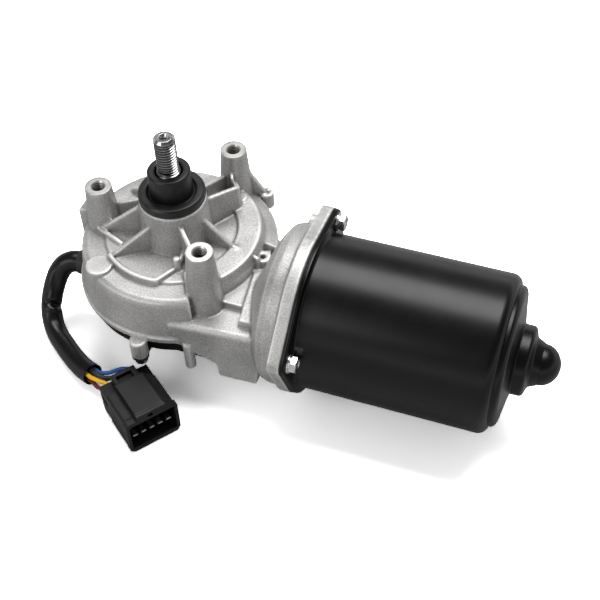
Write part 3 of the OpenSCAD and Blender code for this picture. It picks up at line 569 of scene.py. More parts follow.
def grain_group() -> None:
    """Grain: two sizes of noise as a height, and a slow mottle, for a grain size in metres."""
    g, given, out = shared_group("Grain", {"Vector": None, "Size": 0.0006},
                                 ["Height", "Mottle", "Speck"])
    place, scale = given["Vector"], g.math("DIVIDE", 1.0, given["Size"])
    fine = g.noise(place, scale, 3.0, 0.6)
    broad = g.noise(place, g.times(scale, 0.3))
    slow = g.noise(place, g.times(scale, 0.035), 3.0)
    g.give(out["Height"], g.mixed(fine, 0.7, broad, 0.3))
    g.give(out["Mottle"], g.spread(slow, 0.35, 0.65))
    g.give(out["Speck"], g.spread(fine, 0.36, 0.64))


def edge_group() -> None:
    """EdgeTone: how convex and how concave the surface is, for painted highlight and shade."""
    g, _, out = shared_group("EdgeTone", {}, ["Edge", "Hollow"])
    value = g.add("ShaderNodeAttribute", attribute_name="edge").outputs["Fac"]
    off = g.times(g.math("SUBTRACT", value, 0.5), 2.0)
    for label, side in (("Edge", 1.0), ("Hollow", -1.0)):
        g.give(out[label], g.spread(g.times(off, side), 0.06, 0.75))


def turning_group() -> None:
    """Turning: lathe lines, a noise of the distance from the Z axis and the height alone."""
    g, given, out = shared_group("Turning", {"Vector": None, "Pitch": 0.0002},
                                 ["Height", "Streak"])
    part = g.parts(given["Vector"])
    line = g.add("ShaderNodeCombineXYZ", {0: g.from_axis(part), 1: part[2]}).outputs[0]
    scale = g.math("DIVIDE", 1.0, given["Pitch"])
    g.give(out["Height"], g.noise(line, scale, dimensions="2D"))
    broad = g.noise(line, g.times(scale, 0.2), dimensions="2D")
    g.give(out["Streak"], g.spread(broad, 0.35, 0.65))


class Effect(Enum):
    """Shared node groups, built the first time they are asked for."""
    GRAIN = "Grain"
    EDGES = "EdgeTone"
    TURNING = "Turning"

    def into(self, g: Graph, inputs: dict | None = None) -> Sockets:
        """Puts the effect into a graph.

        Args:
            g: the material's graph.
            inputs: values or sockets by input name.

        Returns:
            The effect's outputs.
        """
        if self.value not in bpy.data.node_groups:
            {"Grain": grain_group, "EdgeTone": edge_group, "Turning": turning_group}[self.value]()
        group = bpy.data.node_groups[self.value]
        return g.add("ShaderNodeGroup", inputs, node_tree=group).outputs


# Finishes

class Pattern(Enum):
    """What lies over the grain of a finish."""
    PLAIN = "plain"
    TURNED = "turned"
    STACKED = "stacked"
    WOUND = "wound"


@dataclass(frozen=True)
class Finish:
    """A material: its colour, gloss and grain, in millimetres where it is a size.

    A finish with a fade has painted shade, darker over that depth below its centre, as a hole's
    wall lies in shade. One with a groove has painted shade in a thread, darker from its crest
    radius to its root radius, below a given height.
    """
    name: str
    base: Point
    roughness: float
    metallic: float
    grain: float
    depth: float
    mottle: float
    speck: float = 0.0
    coat: float = 0.0
    specular: float = 0.5
    # Painted highlight on convex edges and painted shade in concave places, as shares.
    edge: float = 0.0
    hollow: float = 0.0
    fade: float = 0.0
    groove: Point = (0.0, 0.0, 0.0)
    pattern: Pattern = Pattern.PLAIN
    pitch: float = 0.25
    centre: Point = (0.0, 0.0, 0.0)
    turn: Point = (0.0, 0.0, 0.0)

    def tint(self, share: float) -> tuple[float, float, float, float]:
        """The base colour made darker or lighter by a share of itself."""
        return (*(min(1.0, c * (1 + share)) for c in self.base), 1)

    def material(self) -> bpy.types.Material:
        """The material, built once."""
        found = bpy.data.materials.get(self.name)
        return found if found else self.build()

    def build(self) -> bpy.types.Material:
        """Builds the nodes: colour and roughness vary with the grain, whose height feeds a bump.

        Returns:
            The material.
        """
        material = bpy.data.materials.new(self.name)
        material.diffuse_color = (*self.base, 1)
        g = Graph.fresh(material)
        where = g.add("ShaderNodeTexCoord").outputs["Object"]
        moved = g.add("ShaderNodeMapping", {
            "Vector": where, "Location": tuple(-c * MM for c in self.centre)}).outputs[0]
        place = g.add("ShaderNodeMapping", {"Vector": moved, "Rotation": self.turn}).outputs[0]
        grain = Effect.GRAIN.into(g, {"Vector": where, "Size": self.grain * MM})
        mottle, height = grain["Mottle"], grain["Height"]
        colour = g.blend(mottle, self.tint(-1.6 * self.mottle), self.tint(self.mottle))
        rough = g.spread(mottle, 0, 1, self.roughness * 0.9, min(1.0, self.roughness * 1.12))
        if self.speck:
            light = g.spread(grain["Speck"], 0, 1, 1 - self.speck, 1 + 0.6 * self.speck)
            colour = g.shaded(colour, light)
        # Painted highlight on convex edges and painted shade in concave places.
        if self.edge or self.hollow:
            tone = Effect.EDGES.into(g)
            colour = g.blend(tone["Edge"], colour, self.tint(self.edge))
            colour = g.blend(tone["Hollow"], colour, self.tint(-self.hollow))
        if self.pattern is Pattern.TURNED:
            lines = Effect.TURNING.into(g, {"Vector": place, "Pitch": self.pitch * MM})
            height = g.mixed(height, 0.3, lines["Height"], 0.7)
            rough = g.math("ADD", rough, g.spread(lines["Streak"], 0, 1, -0.04, 0.06))
        elif self.pattern is not Pattern.PLAIN:
            wave = g.math("SINE", g.times(g.parts(place)[2], TAU / (self.pitch * MM)))
            height = g.mixed(height, 0.2, wave, 0.5)
            # Darker in the wave's valleys: painted shade between wound turns, dark joints between
            # sheets.
            darkest = 0.45 if self.pattern is Pattern.WOUND else 0.7
            colour = g.shaded(colour, g.spread(wave, -1, 0.2, darkest, 1))
        # Painted shade down the wall of a hole, darker with depth below the centre.
        if self.fade:
            painted_hole_shade = g.spread(g.parts(place)[2], -self.fade * MM, -0.6 * MM, 0.2, 1)
            colour = g.shaded(colour, painted_hole_shade)
        # Painted shade in the thread, from light at the crest to dark at the root.
        if self.groove[0]:
            colour = g.shaded(colour, self.thread_shade(g, place))
        bump = g.add("ShaderNodeBump", {
            "Height": height, "Strength": 1.0, "Distance": self.depth * MM})
        shader = g.add("ShaderNodeBsdfPrincipled", {
            "Base Color": colour, "Metallic": self.metallic, "Roughness": rough,
            "Normal": bump.outputs[0], "Specular IOR Level": self.specular,
            "Coat Weight": self.coat, "Coat Roughness": 0.3})
        g.end("ShaderNodeOutputMaterial", shader)
        return material

    def thread_shade(self, g: Graph, place: Socket) -> Socket:
        """Painted shade in a thread: a share, 1 at the crest, low at the root, 1 away from it.

        Args:
            g: the material's graph.
            place: position with the thread's axis as Z.

        Returns:
            The share.
        """
        crest, root, top = self.groove
        span, part = abs(root - crest), g.parts(place)
        away = g.math("ABSOLUTE", g.math("SUBTRACT", g.from_axis(part), crest * MM))
        shade = g.spread(away, 0.05 * MM, span * 0.8 * MM, 1, 0.06)
        beyond = g.spread(away, (span + 0.2) * MM, (span + 0.3) * MM)
        above = g.spread(part[2], (top - 0.05) * MM, top * MM)
        return g.math("MAXIMUM", g.math("MAXIMUM", shade, beyond), above)


GREY_STEEL = (0.56, 0.56, 0.565)
LATHED = {"pattern": Pattern.TURNED}
ON_MOTOR = {"centre": (0, MOTOR_Y, MOTOR_Z), "turn": (0.0, -np.pi / 2, 0.0)}
# Painted highlight on the casting's edges and painted shade in its concave places.
CAST = Finish("cast aluminium", (0.53, 0.525, 0.515), 0.46, 0.6, 0.62, 0.12, 0.08, 0.34,
              edge=0.9, hollow=0.6)
# Painted shade down the standoff bores and in their thread.
MACHINED = Finish("machined aluminium", (0.66, 0.65, 0.63), 0.34, 0.8, 0.3, 0.012, 0.05,
                  fade=9.0, groove=(3.4, 4.0, -0.7), pitch=0.3, **LATHED)
ENAMEL = Finish("black enamel", (0.001, 0.001, 0.0013), 0.34, 0.0, 0.5, 0.01, 0.1,
                coat=0.4, specular=0.16)
BOOT = Finish("boot rubber", (0.007, 0.007, 0.007), 0.34, 0.0, 0.35, 0.012, 0.12)
RUBBER = Finish("gasket rubber", (0.02, 0.02, 0.02), 0.6, 0.0, 0.3, 0.02, 0.1)
# Strong painted highlight on convex edges, and painted shade in concave places.
MOULDED = Finish("moulded plastic", (0.004, 0.004, 0.0042), 0.46, 0.0, 0.3, 0.014, 0.12,
                 specular=0.3, edge=4.0, hollow=0.5)
VINYL = Finish("vinyl sleeve", (0.005, 0.005, 0.0055), 0.3, 0.0, 2.2, 0.02, 0.1, specular=0.36)
STEEL = Finish("turned steel", GREY_STEEL, 0.2, 1.0, 0.2, 0.004, 0.06, pitch=0.14, **LATHED)
# Painted shade in the roots of the shaft's thread.
THREADED = replace(STEEL, name="threaded steel", groove=(6.0, 4.93, 40.75))
GROUND = Finish("ground steel", GREY_STEEL, 0.22, 1.0, 0.2, 0.004, 0.06, pitch=0.2,
                **LATHED, **ON_MOTOR)
ZINC = Finish("zinc plate", (0.74, 0.75, 0.77), 0.24, 1.0, 0.35, 0.012, 0.1)
BLUED = Finish("blued spring steel", (0.2, 0.2, 0.22), 0.3, 1.0, 0.3, 0.004, 0.1)
BRONZE = Finish("sintered bronze", (0.5, 0.33, 0.16), 0.42, 0.9, 0.18, 0.015, 0.16)
BRASS = Finish("contact brass", (0.78, 0.58, 0.24), 0.3, 1.0, 0.4, 0.005, 0.1)
TIN = Finish("tinned terminals", (0.82, 0.81, 0.78), 0.3, 1.0, 0.3, 0.006, 0.1)
NYLON = Finish("moulded acetal", (0.78, 0.74, 0.63), 0.42, 0.0, 0.5, 0.008, 0.05)
FERRITE = Finish("sintered ferrite", (0.06, 0.06, 0.065), 0.62, 0.1, 0.25, 0.03, 0.2)
CARBON = Finish("pressed carbon", (0.045, 0.045, 0.045), 0.66, 0.1, 0.2, 0.03, 0.2)
BOARD = Finish("phenolic board", (0.27, 0.13, 0.055), 0.5, 0.0, 0.6, 0.02, 0.22)
CORE = Finish("stacked laminations", (0.22, 0.22, 0.23), 0.42, 0.9, 0.3, 0.06, 0.1,
              pattern=Pattern.STACKED, pitch=0.5, **ON_MOTOR)
# Wound pattern: painted shade between the turns.
COPPER = Finish("enamelled copper", (0.6, 0.24, 0.1), 0.3, 0.85, 0.3, 0.12, 0.14,
                pattern=Pattern.WOUND, pitch=0.7, **ON_MOTOR)
SEGMENTS = Finish("commutator copper", (0.7, 0.36, 0.2), 0.25, 1.0, 0.2, 0.006, 0.1, pitch=0.2,
                  **LATHED, **ON_MOTOR)


class Insulation(Enum):
    """Colours of the five wires."""
    BLACK = (0.014, 0.014, 0.015)
    BLUE = (0.05, 0.17, 0.55)
    YELLOW = (0.92, 0.52, 0.02)
    BROWN = (0.13, 0.03, 0.02)
    VIOLET = (0.03, 0.03, 0.13)

    def finish(self) -> Finish:
        """Soft gloss insulation in this colour."""
        name = f"insulation {self.name.lower()}"
        return Finish(name, self.value, 0.33, 0.0, 0.8, 0.01, 0.06)


def dress(piece: Piece, finish: Finish, body: str, node: str | None = None) -> None:
    """Gives a piece its finish and says what it rides on.

    Args:
        piece: the object.
        finish: its finish.
        body: the CAD body that it rides on.
        node: the CAD node that it stands for.
    """
    piece.data.materials.clear()
    piece.data.materials.append(finish.material())
    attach(piece, body)
    if node:
        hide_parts(node)
    log.info("made %s", piece.name)


# Sub-assemblies

@dataclass
class GearHousing:
    """The casting with its three threaded standoffs, and the plastic cover below."""
    post_r: float = 7.6
    taper: float = 0.07
    core_r: float = 3.4
    outside_r: float = 4.0
    pitch: float = 1.25
    mouth_r: float = 4.45
    lining_r: float = 4.6

    def build(self) -> None:
        """Makes the casting, the machined standoff tops and the cover."""
        bores = [(*post_place(p)[:2], self.mouth_r, self.lining_r) for p in POSTS]
        casting = softened("housing_casting", "gear_housing", 0.62, 3, 195000, 800, bores)
        dress(casting, CAST, "housing", "gear_housing")
        for name, post in zip(("left", "rear", "front"), POSTS):
            self.standoff_top(name, post)
        cover = softened("cover_moulding", "bottom_cover", 0.6, 2, 60000, 1200)
        dress(cover, MOULDED, "housing", "bottom_cover")

    def standoff_top(self, name: str, post: Point) -> None:
        """Machined face of a standoff with its threaded bore, as one turned piece.

        The profile runs from the casting's flank over the face, down the chamfer and the bore to
        its floor; the thread has the M8 coarse pitch.

        Args:
            name: which standoff.
            post: its row of POSTS.
        """
        r, core, outside = self.post_r, self.core_r, self.outside_r
        low, floor = -2.2, 0.1 - post[2]
        flank = r - self.taper * low
        profile = dense(rounded([
            (flank - 1.2, low - 0.6, 0), (flank + 0.02, low, 0.2), (r + 0.02, -0.3, 0.4),
            (r - 0.35, 0, 0.25), (outside + 0.35, 0, 0.15), (core, -1.0, 0.1),
            (core, floor, 0.1), (0, floor - 0.05, 0)]), 0.14)
        place = post_place(post)
        thread = partial(self.thread, floor)
        top = turned(f"standoff_{name}", profile, Axis(place), 72, thread, sharp=50)
        finish = replace(MACHINED, name=f"machined standoff {name}", centre=place)
        dress(top, finish, "housing")

    def thread(self, floor: float, angle: Array, radius: Array, height: Array) -> Array:
        """A thread in a hole: r' = r + depth * fade(h) * (1 - cos(2 pi h / pitch - a)) / 2.

        Args:
            floor: height of the hole's floor.
            angle: angles round the hole.
            radius: distances from its axis.
            height: heights over its mouth.

        Returns:
            The distances with the thread cut into the wall.
        """
        start, end, run = floor + 0.5, -0.75, 0.5  # The groove fades in and out over the run
        groove = 0.5 - 0.5 * np.cos(TAU * height / self.pitch - angle)
        fade = np.clip((height - start) / run, 0, 1) * np.clip((end - height) / run, 0, 1)
        cut = (self.outside_r - self.core_r) * groove * fade
        return radius + np.where(radius < self.core_r + 0.5, cut, 0)


@dataclass
class OutputShaft:
    """The threaded output shaft and the rubber boot that seals it."""
    radius: float = 6.0
    tip: float = 43.0
    pitch: float = 1.75
    depth: float = 1.07
    low: float = 20.9
    high: float = 40.6
    boot_r: float = 12.0
    boot_h: float = 20.0
    flange_r: float = 18.8

    def build(self) -> None:
        """Makes the shaft and the boot."""
        r, tip, low, high = self.radius, self.tip, self.low, self.high
        core, neck, shoulder = r - self.depth - 0.02, r - 0.7, 7.3
        profile = dense(rounded([
            (0, -62, 0), (r - 0.8, -62, 0), (r, -61.2, 0), (r, -3.9, 0), (neck, -3.9, 0),
            (neck, -2.7, 0), (r, -2.7, 0), (r, 17, 0), (shoulder, 17, 0.2),
            (shoulder, 18.6, 0.4), (r + 0.5, 19.4, 0.3), (r - 0.6, 19.8, 0.3),
            (r - 0.6, 20.4, 0.1), (r, 20.7, 0.1), (r, low, 0), (core, low, 0), (core, high, 0),
            (neck, high, 0), (neck, 41.1, 0.1), (r, 41.3, 0.1), (r - 0.1, 41.7, 0.2),
            (4.8, 42.8, 0.25), (4.6, tip, 0.2), (2.7, tip, 0.2), (1.5, tip - 1.6, 0.1),
            (1.1, tip - 4.5, 0), (0, tip - 5, 0)]), 4.0)
        shaft = join("threaded_shaft", [turned("shank", profile, Axis(), 96), self.winding()])
        dress(shaft, THREADED, "output", "output_shaft")
        self.boot()

    def winding(self) -> Piece:
        """The thread as one band of radius R_k and height low + pitch * (a / 2 pi + f_k).

        The height stays between low and high, and f_k runs over one turn's profile of crest,
        flank, root and flank.

        Returns:
            The thread's shell.
        """
        segments, turns, flank_sharp = 72, (self.high - self.low) / self.pitch, 20
        crest, root = self.radius, self.radius - self.depth
        angle = np.linspace(-TAU, TAU * turns, int(segments * (turns + 1)))[:, None]
        share = np.array([0, 0.08, 0.43, 0.57, 0.92, 1.0])[None, :]
        radius = np.array([crest, crest, root, root, crest, crest])[None, :]
        height = np.clip(self.low + self.pitch * (angle / TAU + share), self.low, self.high)
        return surface("winding", Axis().place(radius, height, angle), (False, False), flank_sharp)

    def boot(self) -> None:
        """The boot: collar, moat and flange turned from one profile with soft corners."""
        r, h, f = self.boot_r, self.boot_h, self.flange_r
        profile = rounded([
            (7.4, 8, 0), (9.6, 8, 0.3), (9.6, 0, 0.2), (r - 1.2, 0, 0), (r - 1.2, -2.3, 0),
            (r - 1, -2.3, 0), (r - 1, 0, 0), (f - 0.5, 0, 0.5), (f, 0.9, 0.6), (f, 4.4, 0.5),
            (f - 1.0, 5.6, 0.9), (r + 2.0, 5.6, 1.2), (r + 0.7, 3.4, 0.9), (r, 4.6, 0.8),
            (r, h - 0.8, 0.6), (r - 0.9, h, 0.9), (8.4, h, 0.5), (7.7, h - 0.8, 0.6),
            (7.7, h - 3.6, 0.3), (7.4, h - 4.2, 0.3)], 6)
        piece = turned("seal_boot", profile, Axis(), 160, loop=True)
        dress(piece, BOOT, "housing", "shaft_seal_boot")


@dataclass
class MotorCan:
    """The pressed steel can with its ear flange, and the three screws that hold it."""
    radius: float = 44.0
    wall: float = 1.8
    flange_x: float = 88.6
    flange_t: float = 2.4
    ring_r: float = 48.0
    ear_c: float = 49.5
    ear_r: float = 7.5
    screw_c: float = 50.0
    end_x: float = 200.0
    step_r: float = 39.0
    boss_r: float = 19.3
    tip_r: float = 11.4
    tip_x: float = 15.6
    tip_end: float = 26.0

    def build(self) -> None:
        """Makes the shell with its flange, and the screws."""
        piece = join("can_pressing", [self.shell(), self.flange()])
        dress(piece, ENAMEL, "housing", "motor_can")
        screws = join("flange_bolts", [part for ear in EARS for part in self.screw(ear)])
        dress(screws, ZINC, "housing", "motor_screws")

    def shell(self) -> Piece:
        """The drawn shell, outside and inside, turned round the motor axis.

        Its shoulder, end plate and domed tip are quarter ellipses, centre + (a cos t, b sin t).

        Returns:
            The can's shell.
        """
        r, x, step, boss = self.radius, self.end_x, self.step_r, self.boss_r
        bore, foot, lip = r - self.wall, self.flange_x, r + 2.6
        quarter = ways(np.linspace(0, 90, 16))
        profile = np.vstack([
            rounded([(bore, foot, 0), (lip, foot + 0.1, 0), (lip, foot + 2.2, 0),
                     (r, foot + 3.0, 1.2), (r, x - 20, 0)], 6),
            np.array([step, x - 9.6]) + quarter * (r - step, 5.9),
            np.array([step - 4.7, x - 2.7]) + quarter * (4.6, 3.2),
            rounded([(step - 5.2, x + 0.55, 0), (21.4, x + 2.6, 1.5), (boss, x + 3.2, 0.8),
                     (boss, x + 9.4, 2.4), (13.6, x + 11.2, 2.6),
                     (self.tip_r + 0.3, x + self.tip_x, 0)], 8),
            np.array([0, x + self.tip_x]) + quarter * (self.tip_r, self.tip_end - self.tip_x),
            rounded([(0, x + 22, 0), (4.2, x + 22, 0), (4.2, x + 9.6, 0), (9, x + 9.6, 0),
                     (9, x + 1, 0), (20, x - self.wall, 2), (30, x - self.wall, 3),
                     (bore, 188, 10), (bore, foot, 0)])])
        axis = Axis((0, MOTOR_Y, MOTOR_Z), (1, 0, 0), (0, 1, 0))
        return turned("shell", dense(profile, 6.0), axis, 256)

    def outline(self) -> tuple[Array, Array]:
        """Edge of the flange: ear arcs, flanks and ring arcs, with their outward normals.

        At direction n, p = s * (c e + r n) + (1 - s) * R n, for ear centre c e, ear radius r and
        ring radius R; the share s is 1 on an ear, 0 on the ring and between them on a flank.

        Returns:
            Points and normals of shape (k, 2).
        """
        on_ear, on_ring, flank = 26, 30, np.array([0.25, 0.5, 0.75])
        lean = np.degrees(np.arccos((self.ring_r - self.ear_r) / self.ear_c))
        share = np.concatenate([np.ones(on_ear), 1 - flank, np.zeros(on_ring), flank])[:, None]
        points, normals = [], []
        for ear, after in zip(EARS, (*EARS[1:], EARS[0] + 360)):
            way = ways(np.concatenate([
                np.linspace(ear - lean, ear + lean, on_ear), np.full(3, ear + lean),
                np.linspace(ear + lean, after - lean, on_ring), np.full(3, after - lean)]))
            nearest = ways(np.repeat([ear, after], [on_ear + 3, on_ring + 3]))
            arc = self.ear_c * nearest + self.ear_r * way
            points.append(share * arc + (1 - share) * self.ring_r * way)
            normals.append(way)
        return np.vstack(points), np.vstack(normals)

    def flange(self) -> Piece:
        """The flange as a closed band: p(s, k) = outline(s) + offset_k * normal(s), at depth x_k.

        Returns:
            The flange's shell.
        """
        edge, normal = self.outline()
        t = self.flange_t
        half = t / 2 - 0.25
        offset, depth = np.array([
            (-0.5, 0), (-0.15, 0.12), (0, 0.5), (0, half), (-0.3, half + 0.25), (0, half + 0.5),
            (0, t - 0.5), (-0.15, t - 0.12), (-0.5, t)]).T
        inner = unit(edge) * (self.radius - 1.0)
        rim = edge[:, None] + offset[:, None] * normal[:, None]
        across = np.concatenate([inner[:, None], rim, inner[:, None]], 1) + (MOTOR_Y, MOTOR_Z)
        x = np.broadcast_to(self.flange_x + np.array([0, *depth, t]), across.shape[:2])
        return surface("flange", np.concatenate([x[..., None], across], 2), (True, True), 30)

    def screw(self, ear: float) -> list[Piece]:
        """A flange bolt with a captive washer: the hexagon's corners are turned off at the top.

        Args:
            ear: direction of the bolt from the motor axis.

        Returns:
            The bolt's shells.
        """
        spin, collar, head_r, top = np.degrees(0.3), 5.0, 4.85, 5.0
        centre = np.array([MOTOR_Y, MOTOR_Z]) + self.screw_c * ways(ear)
        seat = (self.flange_x + self.flange_t, *centre)
        axis = Axis(seat, (1, 0, 0), (0, *ways(ear + spin)))
        washer = rounded([(3.0, 0, 0), (5.4, 0, 0.2), (5.4, 1.0, 0.3), (3.0, 1.1, 0)])
        head = rounded([
            (0, -9, 0), (2.9, -9, 0.3), (2.9, 1.0, 0), (collar, 1.05, 0.2), (collar, 1.7, 0.3),
            (head_r, 1.8, 0), (head_r, top, 0), (3.0, top, 0.2), (2.6, 4.5, 0.3), (0, 4.4, 0)])
        return [turned("washer", washer, axis, 48, loop=True),
                turned("bolt", dense(head, 0.3), axis, 72, self.hexagon)]

    def hexagon(self, angle: Array, radius: Array, height: Array) -> Array:
        """Six flats, r' = min(r, flat / cos(a mod 60 - 30)), with corners turned off above.

        Args:
            angle: angles round the bolt.
            radius: distances from its axis.
            height: heights over its seat.

        Returns:
            The distances cut to the flats.
        """
        flat, start, chamfer, corner, slope = 4.15, 1.75, 4.3, 1.155, 1.3
        flats = flat / np.cos((angle % (np.pi / 3)) - np.pi / 6)
        turned_off = flat * corner - slope * np.clip(height - chamfer, 0, None)
        return np.where(height > start, np.minimum(np.minimum(radius, flats), turned_off), radius)


@dataclass(frozen=True)
class Fold:
    """A crease across the sleeve: where it is, how far round it reaches, and how deep it is."""
    at: float
    turn: float
    depth: float
    width: float
    reach: float
    slant: float


@dataclass(frozen=True)
class Wire:
    """A wire: its place across and up in the sleeve, its place in the plug, and its way between."""
    colour: Insulation
    across: float
    up: float
    slot: float
    middle: tuple[Point, ...]


@dataclass
class Lead:
    """The sleeved lead: vinyl sleeve, five wires and the plug."""
    radius: float = 6.5
    wall: float = 0.7
    wire_r: float = 1.3
    route: tuple[Point, ...] = (
        (-63, -12.2, -61), (-66.5, -12.9, -61), (-71, -15, -62.8), (-74.3, -18.5, -67),
        (-76, -23, -72.7), (-76.6, -28.5, -79.4), (-75.2, -34.5, -85.6), (-71.5, -40.5, -90.3),
        (-66, -46, -92.9), (-59.6, -51, -93.4), (-53, -56, -93.4), (-46.3, -60.5, -93.2),
        (-39.5, -64.5, -92.4), (-32, -68, -90.8))
    plug_pos: Point = (5.1, -82.6, -100.0)
    plug_yaw: float = -38.0
    plug_l: float = 36.0
    plug_mid: float = 10.5
    pitch: float = 5.2
    entry: float = 3.95
    flattening: float = 0.04
    folds: tuple[Fold, ...] = (
        Fold(0.37, 2.4, 2.6, 0.02, 1.0, 0.012), Fold(0.41, 1.9, -0.5, 0.02, 0.9, 0.012),
        Fold(0.2, 2.3, 1.1, 0.07, 0.6, 0.035), Fold(0.29, 1.4, 0.8, 0.04, 0.6, -0.03),
        Fold(0.5, 1.7, 0.7, 0.07, 0.5, 0.08), Fold(0.72, 1.2, 0.4, 0.08, 0.6, 0.03))
    wires: tuple[Wire, ...] = (
        Wire(Insulation.BLACK, 0.2, 3.2, 0, ((-24, -70, -87.9), (-18.5, -68.3, -88.5))),
        Wire(Insulation.BLUE, 3, 1, 2,
             ((-23, -65, -89.2), (-16.5, -60.4, -88.4), (-10.6, -59.2, -88.7))),
        Wire(Insulation.YELLOW, -2.8, 1.6, -1, ((-24, -72.5, -88.9),)),
        Wire(Insulation.BROWN, -3, -2, -2, ((-25.6, -74.9, -91.6),)),
        Wire(Insulation.VIOLET, 2.2, -2.6, 1, ((-24, -67.7, -92.5), (-15.5, -64.1, -90.9))))

    def build(self) -> None:
        plug = softened("plug_moulding", "plug_housing", 0.3, 2, 90000, 2200)
        dress(plug, MOULDED, "housing", "plug_housing")
        path = smooth_path(self.route, 34)
        sleeve = self.sleeve(path)
        dress(sleeve, VINYL, "housing", "cable_sleeve")
        for wire in self.wires:
            self.wire(wire, plug)

    def sleeve(self, path: Array) -> Piece:
        """The sleeve with its wall, folds and open end.

        R(s, a) = radius - sum of folds: depth * exp(-((s - at - slant (a - turn)) / width)^2)
        * exp(-((a - turn) / reach)^2), a little flattened under its own weight.

        Args:
            path: centreline.

        Returns:
            The sleeve.
        """
        inside = 60  # Rings of the lining that shows in the open end
        fine = smooth_path(path, 220)
        s = np.linspace(0, 1, len(fine))[:, None]
        a = np.arange(64)[None, :] * TAU / 64
        radius = self.radius * (1 - self.flattening * np.cos(2 * a) * np.sin(np.pi * s))
        for fold in self.folds:
            off = (a - fold.turn + np.pi) % TAU - np.pi
            along = (s - fold.at - fold.slant * off) / fold.width
            radius = radius - fold.depth * np.exp(-along**2) * np.exp(-(off / fold.reach) ** 2)
        lip = radius[-1] - self.wall * np.array([0.25, 0.5, 0.75])[:, None]
        radius = np.vstack([radius, lip, np.tile(radius[-1] - self.wall, (inside, 1))])
        order = np.r_[:len(fine), [len(fine) - 1] * 3, len(fine) - 1:len(fine) - 1 - inside:-1]
        points = fine[order, None] + radius[..., None] * rings_along(fine, a[0])[order]
        return surface("sleeve", points, (False, True), 70)

    def wire(self, wire: Wire, plug: Piece) -> None:
        """One wire, from inside the sleeve to inside the plug.

        Args:
            wire: the wire.
            plug: the plug that it ends in.
        """
        name = f"wire_{wire.colour.name.lower()}"
        end, before = np.array(self.route[-1], float), np.array(self.route[-2], float)
        out = unit(end - before)
        side = unit(np.cross((0, 0, 1), out))
        start = end + wire.across * side + wire.up * np.cross(out, side)
        axis, beside = (np.array([*ways(self.plug_yaw + turn), 0]) for turn in (0, 90))
        back = np.array(self.plug_pos) + (0, 0, self.plug_mid) - self.plug_l / 2 * axis
        entry = back + wire.slot * self.pitch * beside
        path = smooth_path([start - 8 * out, start, start + 3 * out, *wire.middle,
                            entry - 4 * axis, entry, entry + self.entry * axis], 30)
        rings = rings_along(path, np.arange(16) * TAU / 16)
        piece = surface(f"{name}_run", path[:, None] + self.wire_r * rings, (False, True))
        dress(piece, wire.colour.finish(), "housing", name)


def dress_nodes() -> None:
    """Gives every CAD node that stays its finish."""
    kept = {
        BRONZE: "tower_upper_bush tower_lower_bush worm_end_bush can_end_bush",
        STEEL: "shaft_thrust_washer idler_pin idler_pinion bearing_inner_ring "
               "bearing_outer_ring bearing_balls can_end_ball",
        GROUND: "worm armature_shaft",
        BLUED: "shaft_circlip idler_washer brush_springs magnet_clips",
        NYLON: "output_gear idler_worm_wheel",
        BRASS: "park_disc park_contacts",
        CORE: "armature_core",
        COPPER: "armature_windings choke_coils",
        SEGMENTS: "commutator",
        BOARD: "worm_thrust_pad brush_holder contact_plate",
        CARBON: "brushes",
        FERRITE: "magnets",
        RUBBER: "flange_gasket cover_gasket cable_grommet",
        ZINC: "cover_screws",
        TIN: "plug_terminals",
    }
    for finish, names in kept.items():
        for name in names.split():
            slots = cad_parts[name].data.materials
            if not slots:
                slots.append(finish.material())
            for k in range(len(slots)):
                slots[k] = finish.material()
            log.info("dressed %s", name)


def aim(piece: Piece, right: Array, up: Array, back: Array, place: Array | Point) -> None:
    """Puts a camera or lamp at a place, with right, up and back for its axes."""
    columns = np.column_stack([right, up, back, place])
    piece.matrix_world = Matrix([*columns.tolist(), [0, 0, 0, 1]])


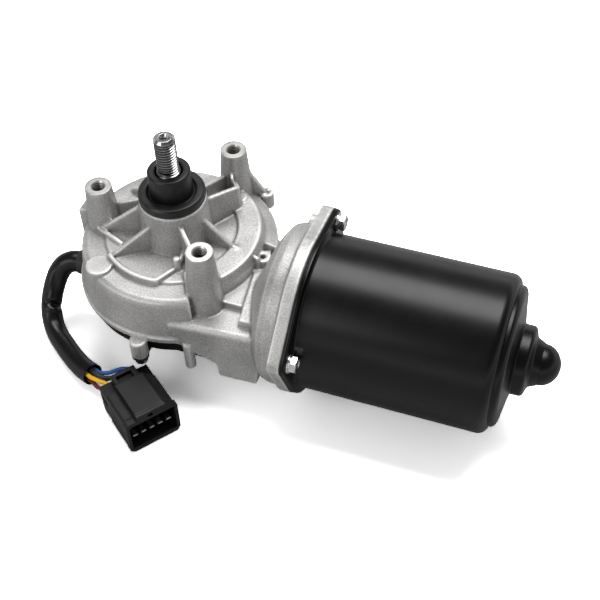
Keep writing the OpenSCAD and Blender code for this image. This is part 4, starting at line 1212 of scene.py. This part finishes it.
@dataclass
class Studio:
    """Camera, floor and soft lights; lengths of the floor's fade and the lamps are metres."""
    focal: float = 1152.94
    photo_width: float = 600.0
    azimuth: float = 21.08
    elevation: float = 48.49
    roll: float = -2.33
    shift: tuple[float, float] = (-70.88, 57.61)
    distance: float = 640.43
    world: float = 0.28
    tones: tuple[float, float] = (0.68, 0.72)
    paper: float = 2.9
    mirrored: float = 0.42
    fade: tuple[float, float] = (0.38, 0.9)
    cove: float = 0.1
    ceiling: float = 0.12

    def camera(self) -> None:
        """Camera at centre -tx r - ty u + d b, with columns r, u and b for right, up and back."""
        sensor = 36.0
        (cos_a, sin_a), (cos_e, sin_e), (cos_r, sin_r) = ways([
            self.azimuth, self.elevation, self.roll])
        back = np.array([sin_a * cos_e, -cos_a * cos_e, sin_e])
        level = np.array([cos_a, sin_a, 0])
        upright = np.cross(back, level)
        right, up = cos_r * level + sin_r * upright, -sin_r * level + cos_r * upright
        place = (-self.shift[0] * right - self.shift[1] * up + self.distance * back) * MM
        data = bpy.data.cameras.new("camera")
        data.lens, data.sensor_width = self.focal * sensor / self.photo_width, sensor
        data.clip_start = 0.01
        camera = link(bpy.data.objects.new("camera", data))
        aim(camera, right, up, back, place)
        bpy.context.scene.camera = camera

    def lamp(self, name: str, place: Point, size: tuple[float, float], power: float,
             target: Point) -> None:
        """A soft rectangular lamp.

        Args:
            name: its name.
            place: where it hangs, in metres.
            size: its width and height, in metres.
            power: its power in watts.
            target: where it points, in metres.
        """
        data = bpy.data.lights.new(name, "AREA")
        data.shape, data.size, data.size_y, data.energy = "RECTANGLE", *size, power
        back = unit(np.array(place) - np.array(target))
        right = unit(np.cross((0, 1.0, 0.001), back))
        aim(link(bpy.data.objects.new(name, data)), right, np.cross(back, right), back, place)

    def rays(self, g: Graph) -> tuple[Socket, Socket]:
        """Masks for rays by where they come from.

        Args:
            g: the graph.

        Returns:
            One for rays from the camera, and one for those from gloss or glass.
        """
        path = g.add("ShaderNodeLightPath").outputs
        glossy, clear = path["Is Glossy Ray"], path["Is Transmission Ray"]
        return path["Is Camera Ray"], g.math("MAXIMUM", glossy, clear)

    def floor(self) -> None:
        """A pale floor that is white to the camera and pale in what reflects it.

        It keeps the shadow near the object and fades to plain white away from it.
        """
        span = np.linspace(-3000, 3000, 9)
        x, y = np.meshgrid(span, span, indexing="ij")
        points = np.stack([x, y, np.full_like(x, FLOOR_Z)], -1)
        piece = surface("studio_floor", points, (False, False))
        material = bpy.data.materials.new("pale floor")
        g = Graph.fresh(material)
        seen, mirrored = self.rays(g)
        place = g.add("ShaderNodeTexCoord").outputs["Object"]
        low, high, glossy, white = (
            (tone,) * 3 + (1,) for tone in (*self.tones, self.mirrored, self.paper))
        tone = g.blend(g.spread(g.noise(place, 3.0), 0.3, 0.7), low, high)
        colour = g.blend(seen, g.blend(mirrored, tone, glossy), white)
        reach = g.add("ShaderNodeVectorMath", {0: place}, operation="LENGTH").outputs["Value"]
        shader = g.add("ShaderNodeMixShader", {
            0: g.times(seen, g.spread(reach, *self.fade)),
            1: g.add("ShaderNodeBsdfDiffuse", {"Color": colour}).outputs[0],
            2: g.add("ShaderNodeEmission", {"Color": (1, 1, 1, 1)}).outputs[0]})
        g.end("ShaderNodeOutputMaterial", shader)
        piece.data.materials.append(material)

    def build(self) -> None:
        """Makes the world and the lamps."""
        scene = bpy.context.scene
        scene.view_settings.view_transform = "Standard"
        scene.world = bpy.data.worlds.new("studio")
        g = Graph.fresh(scene.world)
        seen, mirrored = self.rays(g)
        upward = g.parts(g.add("ShaderNodeTexCoord").outputs["Generated"])[2]
        backdrop = g.grey(g.spread(upward, self.cove, self.cove + 0.3, 1.0, self.ceiling))
        colour = g.blend(mirrored, (self.world,) * 3 + (1,), backdrop)
        colour = g.blend(seen, colour, (1, 1, 1, 1))
        g.end("ShaderNodeOutputWorld", g.add("ShaderNodeBackground", {"Color": colour}))
        self.lamp("overhead", (0.1, 0.35, 1.0), (0.95, 0.65), 13.0, (0.07, 0, -0.05))
        self.lamp("front", (-0.5, -0.9, 0.7), (0.7, 0.7), 3.6, (0.05, 0, -0.05))


def main() -> None:
    logging.basicConfig(level=logging.INFO, format="%(name)s: %(message)s")
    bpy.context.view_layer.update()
    studio = Studio()
    studio.camera()
    Lead().build()
    studio.build()
    studio.floor()
    GearHousing().build()
    OutputShaft().build()
    MotorCan().build()
    dress_nodes()
    bpy.context.view_layer.update()


if __name__ == "__main__":
    main()
